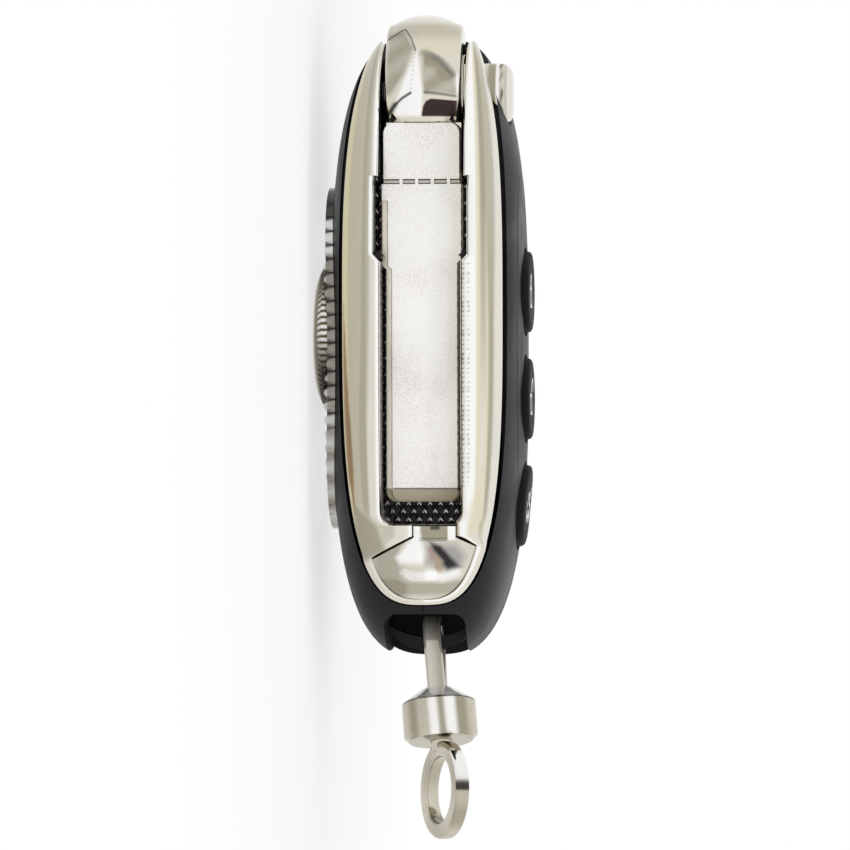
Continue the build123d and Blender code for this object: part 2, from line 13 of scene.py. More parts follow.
import bmesh
import bpy
import numpy as np
from mathutils import Matrix, Vector


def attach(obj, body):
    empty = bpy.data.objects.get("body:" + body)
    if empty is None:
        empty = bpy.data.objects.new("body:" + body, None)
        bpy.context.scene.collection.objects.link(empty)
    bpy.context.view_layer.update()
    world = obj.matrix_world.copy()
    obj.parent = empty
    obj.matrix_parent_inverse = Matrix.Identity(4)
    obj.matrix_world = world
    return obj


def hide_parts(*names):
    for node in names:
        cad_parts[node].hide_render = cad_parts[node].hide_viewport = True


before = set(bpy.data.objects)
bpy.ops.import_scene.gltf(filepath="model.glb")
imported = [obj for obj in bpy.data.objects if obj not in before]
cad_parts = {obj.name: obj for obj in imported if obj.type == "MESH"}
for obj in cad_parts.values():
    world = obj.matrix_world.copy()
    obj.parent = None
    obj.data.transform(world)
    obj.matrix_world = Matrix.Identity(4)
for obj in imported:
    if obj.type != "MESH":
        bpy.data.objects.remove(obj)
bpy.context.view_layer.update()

MM = 0.001
MID_Z = 13.4
Colour = tuple[float, float, float]
Faces = list[list[int]]
Masks = dict[str, np.ndarray]
Point = tuple[float, float]
Path = list[Point]
Socket = bpy.types.NodeSocket
log = logging.getLogger("remote")


# Mesh helpers

def grid_faces(
    rows: int, cols: int, wrap_rows: bool = False, wrap_cols: bool = False
) -> np.ndarray:
    """Quads of a grid: cell (i, j) joins points (i, j), (i+1, j), (i+1, j+1) and (i, j+1).

    Args:
        rows: points along the first direction.
        cols: points along the second direction.
        wrap_rows: joins the last row to the first.
        wrap_cols: joins the last column to the first.

    Returns:
        An array of four point numbers for each quad.
    """
    i = np.arange(rows if wrap_rows else rows - 1)[:, None]
    j = np.arange(cols if wrap_cols else cols - 1)[None, :]
    i2, j2 = (i + 1) % rows, (j + 1) % cols
    corners = [i * cols + j, i2 * cols + j, i2 * cols + j2, i * cols + j2]
    return np.stack(np.broadcast_arrays(*corners), -1).reshape(-1, 4)


def carried(sections: np.ndarray, loop: bool = False) -> tuple[np.ndarray, Faces]:
    """Joins closed sections in order into one closed skin, with a flat cap at each open end.

    Args:
        sections: array of shape (stations, points round, 3).
        loop: joins the last station to the first instead of capping.

    Returns:
        The points as rows and the faces as lists of point numbers.
    """
    stations, around = sections.shape[:2]
    faces = grid_faces(stations, around, loop, True).tolist()
    if not loop:
        faces.append(list(range(around)))
        faces.append([(stations - 1) * around + k for k in range(around)])
    return sections.reshape(-1, 3), faces


def lathe(profile: np.ndarray, steps: int) -> tuple[np.ndarray, Faces]:
    """Turns a closed profile about +Z: point (r, h) at angle a goes to (r cos a, r sin a, h).

    Args:
        profile: rows of radius and height, going round the section once.
        steps: stations in the turn.

    Returns:
        Points and faces.
    """
    turn = np.linspace(0, 2 * np.pi, steps, endpoint=False)[:, None]
    radius, height = profile[:, 0][None, :], profile[:, 1][None, :]
    ring = np.stack([radius * np.cos(turn), radius * np.sin(turn), height + 0 * turn], -1)
    return carried(ring, loop=True)


def rounded_profile(corners: list[tuple[float, float, float]], arc_points: int = 6) -> np.ndarray:
    """A closed outline whose corners are rounded by arcs that touch both of their sides.

    Args:
        corners: rows of (u, v, radius), where radius 0 keeps the corner sharp.
        arc_points: points on each arc.

    Returns:
        Rows of (u, v).
    """
    out = []
    count = len(corners)
    for k, (u, v, radius) in enumerate(corners):
        here = np.array([u, v])
        if radius <= 0:
            out.append(here[None, :])
            continue
        before = np.array(corners[k - 1][:2]) - here
        after = np.array(corners[(k + 1) % count][:2]) - here
        d1, d2 = before / np.linalg.norm(before), after / np.linalg.norm(after)
        half = math.acos(float(np.clip(d1 @ d2, -1, 1))) / 2
        reach = radius / math.tan(half)
        centre = here + (d1 + d2) / np.linalg.norm(d1 + d2) * radius / math.sin(half)
        start, end = here + d1 * reach - centre, here + d2 * reach - centre
        a0 = math.atan2(start[1], start[0])
        swing = (math.atan2(end[1], end[0]) - a0 + math.pi) % (2 * math.pi) - math.pi
        a = a0 + swing * np.linspace(0, 1, arc_points)
        out.append(centre + radius * np.stack([np.cos(a), np.sin(a)], 1))
    return np.concatenate(out)


def finely(profile: np.ndarray, step: float) -> np.ndarray:
    """A closed outline with points added along its straight sides.

    Args:
        profile: rows of (u, v).
        step: the greatest distance between two points.

    Returns:
        The old points and the new ones, in order.
    """
    run = np.roll(profile, -1, axis=0) - profile
    count = np.maximum(1, np.ceil(np.linalg.norm(run, axis=1) / step)).astype(int)
    owner = np.repeat(np.arange(len(run)), count)
    place = np.arange(count.sum()) - np.repeat(np.cumsum(count) - count, count)
    return profile[owner] + (place / np.repeat(count, count))[:, None] * run[owner]


def along_x(points: np.ndarray) -> np.ndarray:
    """Turns points made about +Z so that their axis lies along +X."""
    return np.stack([points[:, 2], points[:, 1], -points[:, 0]], 1)


def evenly(count: int) -> np.ndarray:
    """Even shares from 0 up to, but not at, 1."""
    return np.linspace(0, 1, count, endpoint=False)


def quarter_drop(distance: np.ndarray, radius: float | np.ndarray) -> np.ndarray:
    """Drop of a quarter circle: r - sqrt(r^2 - (r - d)^2) within r of an edge, and 0 beyond it.

    Args:
        distance: distances d from the edge.
        radius: the rounding r, one value or one for each row.

    Returns:
        How far the surface lies below the flat at each distance.
    """
    left = radius - np.clip(distance, 0, radius)
    return radius - np.sqrt(np.clip(radius**2 - left**2, 0, None))


def edge_drop(
    spots: np.ndarray, width: np.ndarray, first: float | np.ndarray, last: float | np.ndarray
) -> np.ndarray:
    """Drop of a strip whose two long edges are rounded by quarter circles.

    Args:
        spots: distances from the first edge.
        width: width of the strip at each spot.
        first: rounding at the first edge, one value or one for each row.
        last: rounding at the last edge.

    Returns:
        The sum of both edges' drops, where no rounding takes more than 0.45 of the width.
    """
    r1 = np.minimum(first, 0.45 * width) + 1e-9
    r2 = np.minimum(last, 0.45 * width) + 1e-9
    return quarter_drop(spots, r1) + quarter_drop(width - spots, r2)


def make_piece(
    name: str,
    points: np.ndarray,
    faces: Faces,
    finish: "Finish",
    body: str,
    stands_for: tuple[str, ...] = (),
    sharp_deg: float = 38.0,
    masks: Masks | None = None,
) -> bpy.types.Object:
    """Puts a skin into Blender, welds it, turns its faces outwards and rides it on its body.

    Args:
        name: the piece's name.
        points: rows of millimetres in the part's frame.
        faces: lists of point numbers.
        finish: what the piece is made of.
        body: the moving body that carries it.
        stands_for: solids of the frame that it replaces.
        sharp_deg: edges that bend more than this stay crisp.
        masks: named values, one for each point, that the finish reads.

    Returns:
        The finished object.
    """
    mesh = bpy.data.meshes.new(name)
    mesh.from_pydata((points * MM).tolist(), [], [list(f) for f in faces])
    for mask, values in (masks or {}).items():
        layer = mesh.attributes.new(mask, "FLOAT", "POINT")
        layer.data.foreach_set("value", np.asarray(values, np.float32))
    work = bmesh.new()
    work.from_mesh(mesh)
    bmesh.ops.remove_doubles(work, verts=work.verts, dist=2e-6)
    bmesh.ops.dissolve_degenerate(work, edges=work.edges, dist=1e-6)
    bmesh.ops.recalc_face_normals(work, faces=work.faces)
    open_edges = sum(1 for e in work.edges if len(e.link_faces) != 2)
    work.to_mesh(mesh)
    work.free()
    mesh.shade_smooth()
    mesh.set_sharp_from_angle(angle=math.radians(sharp_deg))
    piece = bpy.data.objects.new(name, mesh)
    bpy.context.scene.collection.objects.link(piece)
    mesh.materials.append(finish.material())
    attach(piece, body)
    if stands_for:
        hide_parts(*stands_for)
    faces_made = len(mesh.polygons)
    log.info("%s: %d faces, %d edges not between two faces", name, faces_made, open_edges)
    return piece


# Shader nodes

@dataclass
class Web:
    """Short ways to add and join the nodes of one shader tree."""

    tree: bpy.types.NodeTree

    def add(self, kind: str, **values: float) -> bpy.types.Node:
        """A new shader node.

        Args:
            kind: the node's type, without ShaderNode before it.
            values: a number for each named input, with _ for a space in its name.

        Returns:
            The node.
        """
        node = self.tree.nodes.new("ShaderNode" + kind)
        for label, value in values.items():
            node.inputs[label.replace("_", " ")].default_value = value
        return node

    def join(self, output: Socket, target: Socket) -> None:
        """Joins an output to an input."""
        self.tree.links.new(output, target)

    def maths(self, operation: str, *terms: float | Socket) -> Socket:
        """The result of a Math node.

        Args:
            operation: what the node does with its terms.
            terms: its inputs in order, each a plain number or another node's output.

        Returns:
            The node's output.
        """
        node = self.add("Math")
        node.operation = operation
        for place, term in enumerate(terms):
            if isinstance(term, float):
                node.inputs[place].default_value = term
            else:
                self.join(term, node.inputs[place])
        return node.outputs[0]

    def spread(self, value: Socket, start: Point, end: Point) -> Socket:
        """A value moved from one range to another, and held at the ends of the new one.

        Args:
            value: the value that is moved.
            start: the range it comes from.
            end: the range it goes to.

        Returns:
            The moved value.
        """
        node = self.add("MapRange", From_Min=start[0], From_Max=start[1])
        node.inputs["To Min"].default_value, node.inputs["To Max"].default_value = end
        self.join(value, node.inputs["Value"])
        return node.outputs["Result"]

    def noise(self, scale: float | Socket, **values: float) -> Socket:
        """Noise on Object coordinates.

        Args:
            scale: how fine it is, a plain number or another node's output.
            values: its other inputs.

        Returns:
            Its value, around one half.
        """
        node = self.add("TexNoise", **values)
        self.join(self.add("TexCoord").outputs["Object"], node.inputs["Vector"])
        if isinstance(scale, float):
            node.inputs["Scale"].default_value = scale
        else:
            self.join(scale, node.inputs["Scale"])
        return node.outputs["Fac"]

    def mask(self, name: str) -> Socket:
        """Reads one of a piece's own masks.

        Args:
            name: the mask's name.

        Returns:
            The mask's value.
        """
        node = self.add("Attribute")
        node.attribute_name = name
        return node.outputs["Fac"]

    def effect(self, effect: "Effect", **values: float) -> Socket:
        """A shared effect, placed in this tree.

        Args:
            effect: the effect.
            values: a number for each of its named inputs that isn't left as it is.

        Returns:
            The effect's output.
        """
        node = self.add("Group")
        node.node_tree = effect.group()
        for label, value in values.items():
            node.inputs[label].default_value = value
        return node.outputs[effect.output]

    def laid_over(self, base: Colour | Socket, share: Socket, colour: Colour) -> Socket:
        """Mixes a colour over the base.

        Args:
            base: the colour so far.
            share: 0 for the base and 1 for the colour.
            colour: the colour that is laid over it.

        Returns:
            The mixed colour.
        """
        factor, below, above, mixed = 0, 6, 7, 2
        over = self.add("Mix")
        over.data_type = "RGBA"
        self.join(share, over.inputs[factor])
        if isinstance(base, tuple):
            over.inputs[below].default_value = (*base, 1)
        else:
            self.join(base, over.inputs[below])
        over.inputs[above].default_value = (*colour, 1)
        return over.outputs[mixed]


class Effect:
    """A surface effect that several finishes share, kept in one node group."""

    name: str
    output: str
    inputs: dict[str, float]

    def group(self) -> bpy.types.ShaderNodeTree:
        """The effect's node group, made on first use, with numbers going in and coming out.

        Returns:
            The group.
        """
        found = bpy.data.node_groups.get(self.name)
        if found:
            return found
        made = bpy.data.node_groups.new(self.name, "ShaderNodeTree")
        sockets, kind = made.interface, "NodeSocketFloat"
        for label, value in self.inputs.items():
            sockets.new_socket(label, in_out="INPUT", socket_type=kind).default_value = value
        sockets.new_socket(self.output, in_out="OUTPUT", socket_type=kind)
        given, result = made.nodes.new("NodeGroupInput"), made.nodes.new("NodeGroupOutput")
        web = Web(made)
        web.join(self.worked_out(web, given), result.inputs[self.output])
        return made

    def worked_out(self, web: Web, given: bpy.types.Node) -> Socket:
        """Adds the nodes that work out the effect's value.

        Args:
            web: the group's nodes.
            given: the node that holds the group's inputs.

        Returns:
            The value.
        """
        raise NotImplementedError


class Grain(Effect):
    """Fine grain: two sizes of noise, added in a set share."""

    name, output = "fine_grain", "Grain"
    inputs = {"Scale": 2000.0, "Coarse": 0.4}
    coarser = 0.22

    def worked_out(self, web: Web, given: bpy.types.Node) -> Socket:
        """Mixes noise at the given scale with slower noise.

        Args:
            web: the group's nodes.
            given: the node that holds the group's inputs.

        Returns:
            The grain, around one half.
        """
        scale = given.outputs["Scale"]
        mix = web.add("Mix")
        web.join(given.outputs["Coarse"], mix.inputs[0])
        web.join(web.noise(scale, Detail=3.0), mix.inputs[2])
        slower = web.maths("MULTIPLY", scale, self.coarser)
        web.join(web.noise(slower, Detail=3.0), mix.inputs[3])
        return mix.outputs[0]


class HandlingMarks(Effect):
    """Soft handling marks: slow noise squeezed between two levels, 0 for clean and 1 for dull."""

    name, output = "handling_marks", "Marks"
    inputs = {"Scale": 90.0}
    levels = (0.42, 0.68)

    def worked_out(self, web: Web, given: bpy.types.Node) -> Socket:
        """Squeezes the noise."""
        noise = web.noise(given.outputs["Scale"], Detail=4.0, Distortion=0.6)
        return web.spread(noise, self.levels, (0.0, 1.0))


class Specks(Effect):
    """Small dark specks: fine noise, cut at a level that slower noise raises and lowers."""

    name, output = "fine_specks", "Specks"
    inputs = {"Scale": 9000.0}
    slow_scale, slow_share = 170.0, 0.35
    levels, strongest = (0.72, 0.86), 0.55

    def worked_out(self, web: Web, given: bpy.types.Node) -> Socket:
        """Adds a share of the slow noise to the fine noise and cuts the sum.

        Args:
            web: the group's nodes.
            given: the node that holds the group's inputs.

        Returns:
            0 between specks, and the strongest value in them.
        """
        fine = web.noise(given.outputs["Scale"], Detail=2.0)
        both = web.maths("MULTIPLY_ADD", web.noise(self.slow_scale), self.slow_share, fine)
        return web.spread(both, self.levels, (0.0, self.strongest))


class ShellSeam(Effect):
    """The joint between the shell halves: 1 within a hair of the level where they meet, else 0."""

    name, output = "shell_seam", "Line"
    inputs = {"Half Width": 0.00016}

    def worked_out(self, web: Web, given: bpy.types.Node) -> Socket:
        """Compares the height in Object coordinates with the level.

        Args:
            web: the group's nodes.
            given: the node that holds the group's inputs.

        Returns:
            1 in the joint and 0 beside it.
        """
        split = web.add("SeparateXYZ")
        web.join(web.add("TexCoord").outputs["Object"], split.inputs[0])
        return web.maths("COMPARE", split.outputs["Z"], MID_Z * MM, given.outputs["Half Width"])


# Finishes

@dataclass(frozen=True)
class Wash:
    """A colour that a piece's own mask lays over its finish, mostly as painted reflections,
    highlights and shade.
    """

    mask: str
    colour: Colour


class Sheen(Enum):
    """How finely a surface is finished: the range of its roughness."""

    MIRROR = (0.045, 0.13)
    BRIGHT = (0.10, 0.22)
    SATIN = (0.30, 0.46)
    MOULDED = (0.42, 0.58)
    FLAT = (0.6, 0.75)


@dataclass(frozen=True)
class Finish:
    """One surface finish: colour, sheen and fine relief.

    The grain moves the colour between tone and shade, and lifts the surface by relief_mm. The
    specks and the seam come next to the colour, with the washes between them; the washes paint
    reflections, highlights and shade into the colour. Where metal_mask names one of the piece's
    masks, that mask is the metallic share.
    """

    label: str
    slot: str
    tone: Colour
    shade: Colour
    sheen: Sheen
    metallic: float = 0.0
    grain_scale: float = 2500.0
    coarse: float = 0.4
    relief_mm: float = 0.004
    specular: float = 0.5
    speckle: Colour | None = None
    seam: bool = False
    washes: tuple[Wash, ...] = ()
    metal_mask: str = ""

    def colour(self, web: Web, grain: Socket) -> Socket:
        """The colour with everything that is laid over it.

        Args:
            web: the material's nodes.
            grain: the grain's value.

        Returns:
            The last colour.
        """
        base = web.laid_over(self.tone, grain, self.shade)
        if self.speckle:
            base = web.laid_over(base, web.effect(Specks()), self.speckle)
        for wash in self.washes:
            base = web.laid_over(base, web.mask(wash.mask), wash.colour)
        if self.seam:
            base = web.laid_over(base, web.effect(ShellSeam()), (0.0, 0.0, 0.0))
        return base

    def material(self) -> bpy.types.Material:
        """The finish's material, built once.

        Returns:
            A node material whose Principled BSDF gets its colour, roughness and normal from the
            shared effects and the piece's masks.
        """
        found = bpy.data.materials.get(self.label)
        if found:
            return found
        made = bpy.data.materials.new(self.label)
        made.use_nodes = True
        web = Web(made.node_tree)
        skin = made.node_tree.nodes["Principled BSDF"]
        skin.inputs["Metallic"].default_value = self.metallic
        skin.inputs["Specular IOR Level"].default_value = self.specular
        if self.metal_mask:
            web.join(web.mask(self.metal_mask), skin.inputs["Metallic"])
        grain = web.effect(Grain(), Scale=self.grain_scale, Coarse=self.coarse)
        web.join(self.colour(web, grain), skin.inputs["Base Color"])
        rough = web.spread(web.effect(HandlingMarks()), (0.0, 1.0), self.sheen.value)
        web.join(rough, skin.inputs["Roughness"])
        bump = web.add("Bump", Distance=self.relief_mm * MM)
        web.join(grain, bump.inputs["Height"])
        web.join(bump.outputs["Normal"], skin.inputs["Normal"])
        return made


# These wash colours paint light into the colour: reflections, highlights and shade on the metal,
# and glints on the liner's knurl.
OLIVE = Wash("olive", (0.34, 0.315, 0.235))
CREAM = Wash("cream", (0.74, 0.655, 0.43))
GOLD = Wash("gold", (0.30, 0.185, 0.07))
PALE = Wash("pale", (0.96, 0.955, 0.94))
DARK = Wash("dark", (0.018, 0.016, 0.018))
BROWN = Wash("brown", (0.20, 0.085, 0.05))
ROSE = Wash("rose", (0.42, 0.29, 0.26))
SLATE = Wash("slate", (0.25, 0.245, 0.265))
RIDGE_GLINT_PAINT = Wash("ridge", (0.97, 0.94, 0.91))

CHROME = Finish(
    "bright_chrome", "trim_chrome", (0.80, 0.775, 0.69), (0.72, 0.69, 0.60), Sheen.MIRROR,
    metallic=1.0, grain_scale=700.0, relief_mm=0.0006,
    washes=(CREAM, OLIVE, GOLD, PALE, SLATE, ROSE, BROWN, DARK))
NICKEL = Finish(
    "swivel_nickel_plate", "swivel_nickel", (0.74, 0.70, 0.60), (0.46, 0.42, 0.34), Sheen.BRIGHT,
    metallic=1.0, grain_scale=2600.0, coarse=0.3, relief_mm=0.006, washes=(OLIVE, PALE, DARK))
# A paler, less metallic copy of the nickel plate for the loop and the collar, so that they show
# lamp light where they would mirror the dark recess: painted light.
PALER_LIT_NICKEL = Finish(
    "swivel_nickel_paler_lit", "swivel_nickel", (0.78, 0.74, 0.65), (0.56, 0.52, 0.44), Sheen.BRIGHT,
    metallic=0.40, grain_scale=2600.0, coarse=0.3, relief_mm=0.006, washes=(OLIVE, PALE))
SATIN_STEEL = Finish(
    "satin_blade", "blade_satin", (0.985, 0.97, 0.95), (0.95, 0.93, 0.90), Sheen.SATIN,
    metallic=0.9, grain_scale=5200.0, coarse=0.25, speckle=(0.42, 0.37, 0.31),
    washes=(CREAM, OLIVE, BROWN, DARK), metal_mask="metal")
INNER_STEEL = Finish(
    "inner_steel_parts", "inner_steel", (0.62, 0.62, 0.62), (0.52, 0.52, 0.52), Sheen.SATIN,
    metallic=1.0)
PLATE = Finish(
    "cast_ornament", "plate_metal", (0.44, 0.42, 0.375), (0.12, 0.105, 0.08), Sheen.BRIGHT,
    metallic=1.0, grain_scale=1500.0, coarse=0.6, relief_mm=0.03, washes=(PALE, DARK))
DOME = Finish(
    "dome_ornament", "plate_metal", (0.34, 0.285, 0.165), (0.22, 0.18, 0.095), Sheen.BRIGHT,
    metallic=1.0, grain_scale=1200.0, washes=(PALE, DARK))
SHELL = Finish(
    "shell_plastic", "shell_black", (0.006, 0.006, 0.0065), (0.014, 0.014, 0.015), Sheen.MOULDED,
    grain_scale=4200.0, coarse=0.2, relief_mm=0.012, specular=0.20, seam=True)
KEYCAP = Finish(
    "button_plastic", "key_black", (0.004, 0.004, 0.0045), (0.009, 0.009, 0.010), Sheen.FLAT,
    grain_scale=3600.0, relief_mm=0.008, specular=0.12)
PRINT = Finish("white_print", "key_black", (0.80, 0.80, 0.80), (0.74, 0.74, 0.74), Sheen.FLAT)
LINER = Finish(
    "knurled_liner", "liner_black", (0.004, 0.003, 0.003), (0.012, 0.009, 0.010), Sheen.BRIGHT,
    grain_scale=1800.0, specular=0.2, washes=(RIDGE_GLINT_PAINT,), metal_mask="ridge")
BOARD = Finish("board_mask", "board_green", (0.02, 0.12, 0.05), (0.03, 0.16, 0.07), Sheen.BRIGHT)
CHIP = Finish("chip_body", "chip_black", (0.02, 0.02, 0.02), (0.03, 0.03, 0.03), Sheen.FLAT)


# Masks for the washes, which paint reflections, highlights, shade and glints

def bump_at(value: np.ndarray, centre: float, half: float | np.ndarray, soft: float) -> np.ndarray:
    """1 within a half width of a centre, falling to 0 over a soft margin on either side."""
    return np.clip((half + soft - np.abs(value - centre)) / soft, 0, 1)


def ramp(value: np.ndarray, start: float, run: float) -> np.ndarray:
    """0 up to a start, rising to 1 over a run."""
    return np.clip((value - start) / run, 0, 1)


def stroke(x: np.ndarray, z: np.ndarray, path: Path, half: float, soft: float) -> np.ndarray:
    """A soft line: 1 within a half width of a run of straight pieces, falling to 0 over the margin.

    Args:
        x: place along the body.
        z: place across it.
        path: the corners of the line, in the same two measures.
        half: half its width.
        soft: the margin.

    Returns:
        A value from 0 to 1 for each point.
    """
    corners = np.asarray(path)
    start, run = corners[:-1], np.diff(corners, axis=0)
    off = np.stack([x, z], -1)[..., None, :] - start
    way = np.clip((off * run).sum(-1) / (run**2).sum(-1), 0, 1)
    distance = np.linalg.norm(off - way[..., None] * run, axis=-1).min(-1)
    return bump_at(distance, 0.0, half, soft)


def patch(x: np.ndarray, z: np.ndarray, corners: Path, soft: float) -> np.ndarray:
    """A soft area: 1 inside a convex outline and 0 outside, by the least distance to its edges.

    Args:
        x: place along the body.
        z: place across it.
        corners: the outline's corners in order.
        soft: the width over which it fades, half of it on each side of the edge.

    Returns:
        A value from 0 to 1 for each point.
    """
    outline = np.asarray(corners)
    around = np.roll(outline, -1, axis=0)
    run = around - outline
    area = (outline[:, 0] * around[:, 1] - outline[:, 1] * around[:, 0]).sum()
    off = np.stack([x, z], -1)[..., None, :] - outline
    cross = run[:, 0] * off[..., 1] - run[:, 1] * off[..., 0]
    inward = cross / np.linalg.norm(run, axis=1) * np.sign(area)
    return np.clip(inward.min(-1) / soft + 0.5, 0, 1)


def for_points(masks: Masks, bare: int = 0) -> Masks:
    """Masks held between 0 and 1 and written out point by point.

    Args:
        masks: values on the grid of a skin, for each wash.
        bare: points at the end of each station that no wash marks.

    Returns:
        One value for each point of the skin, for each wash.
    """
    return {
        name: np.concatenate([np.clip(mask, 0, 1), np.zeros((len(mask), bare))], 1).reshape(-1)
        for name, mask in masks.items()
    }


# Forms

@dataclass(frozen=True)
class Pebble:
    """The body's envelope |x/a|^n + |y/b|^n + |k z/c|^n = 1, its crests cut flat at |z| = c."""

    middle_x: float = 0.6
    half_length: float = 37.1
    half_width: float = 18.5
    half_height: float = 11.35
    power: float = 3.0
    crest: float = 0.985

    def side_y(self, x: np.ndarray, z: np.ndarray, grow: float) -> np.ndarray:
        """Y of the slot side: minus b times the n-th root of what the other two terms leave of 1.

        Args:
            x: places along the body.
            z: places across the faces.
            grow: distance by which the envelope is grown.

        Returns:
            Y at each place, 0 beyond the envelope's edge.
        """
        across = np.abs(x - self.middle_x) / (self.half_length + grow)
        up = self.crest * np.abs(z - MID_Z) / (self.half_height + grow)
        left = np.clip(1 - across**self.power - up**self.power, 0, 1)
        return -(self.half_width + grow) * left ** (1 / self.power)

    def face_z(self, x: np.ndarray, y: np.ndarray, grow: float, up: bool) -> np.ndarray:
        """Z of the button face or the rear face, found the same way and cut at the crest.

        Args:
            x: places along the body.
            y: places across the faces.
            grow: distance by which the envelope is grown.
            up: the button face instead of the rear face.

        Returns:
            Z at each place.
        """
        across = np.abs(x - self.middle_x) / (self.half_length + grow)
        wide = np.abs(y) / (self.half_width + grow)
        left = np.clip(1 - across**self.power - wide**self.power, 0, 1) ** (1 / self.power)
        rise = (self.half_height + grow) * np.minimum(left, self.crest) / self.crest
        return MID_Z + (rise if up else -rise)

    def side_normal(self, x: np.ndarray, y: np.ndarray, z: np.ndarray, grow: float) -> np.ndarray:
        """Outward unit normals: the gradient of the envelope's sum, each term s |s|^(n-1) / size.

        Args:
            x: places along the body.
            y: places towards the slot side.
            z: places across the faces.
            grow: distance by which the envelope is grown.

        Returns:
            A unit vector for each place.
        """
        reach = [half + grow for half in (self.half_length, self.half_width, self.half_height)]
        size = np.array([reach[0], reach[1], reach[2] / self.crest])
        shares = np.stack([x - self.middle_x, y, z - MID_Z], -1) / size
        slope = np.sign(shares) * np.abs(shares) ** (self.power - 1) / size
        return slope / np.maximum(np.linalg.norm(slope, axis=-1, keepdims=True), 1e-9)


PEBBLE = Pebble()


@dataclass
class Strip:
    """The two long edges of a strip, gathered run by run with as many points on each."""

    outline: Callable[[np.ndarray], np.ndarray]
    inner: list[np.ndarray] = field(default_factory=list)
    outer: list[np.ndarray] = field(default_factory=list)

    def match(self, inner: np.ndarray, x: np.ndarray) -> None:
        """Adds inner points, each with the point of the outline at its x."""
        self.inner.append(inner)
        self.outer.append(np.stack([x, self.outline(x)], 1))

    def straight(self, start: Path, out: Point, spots: np.ndarray) -> None:
        """Adds inner points a + s (b - a), matched with the outline at out_a + s (out_b - out_a).

        Args:
            start: the two ends a and b of the inner run.
            out: where the matching run of the outline starts and ends.
            spots: shares s of the way.
        """
        a, b = np.array(start[0]), np.array(start[1])
        self.match(a + spots[:, None] * (b - a), out[0] + spots * (out[1] - out[0]))

    def edges(self) -> np.ndarray:
        """Rows of an inner and an outer point."""
        return np.stack([np.concatenate(self.inner), np.concatenate(self.outer)], 1)


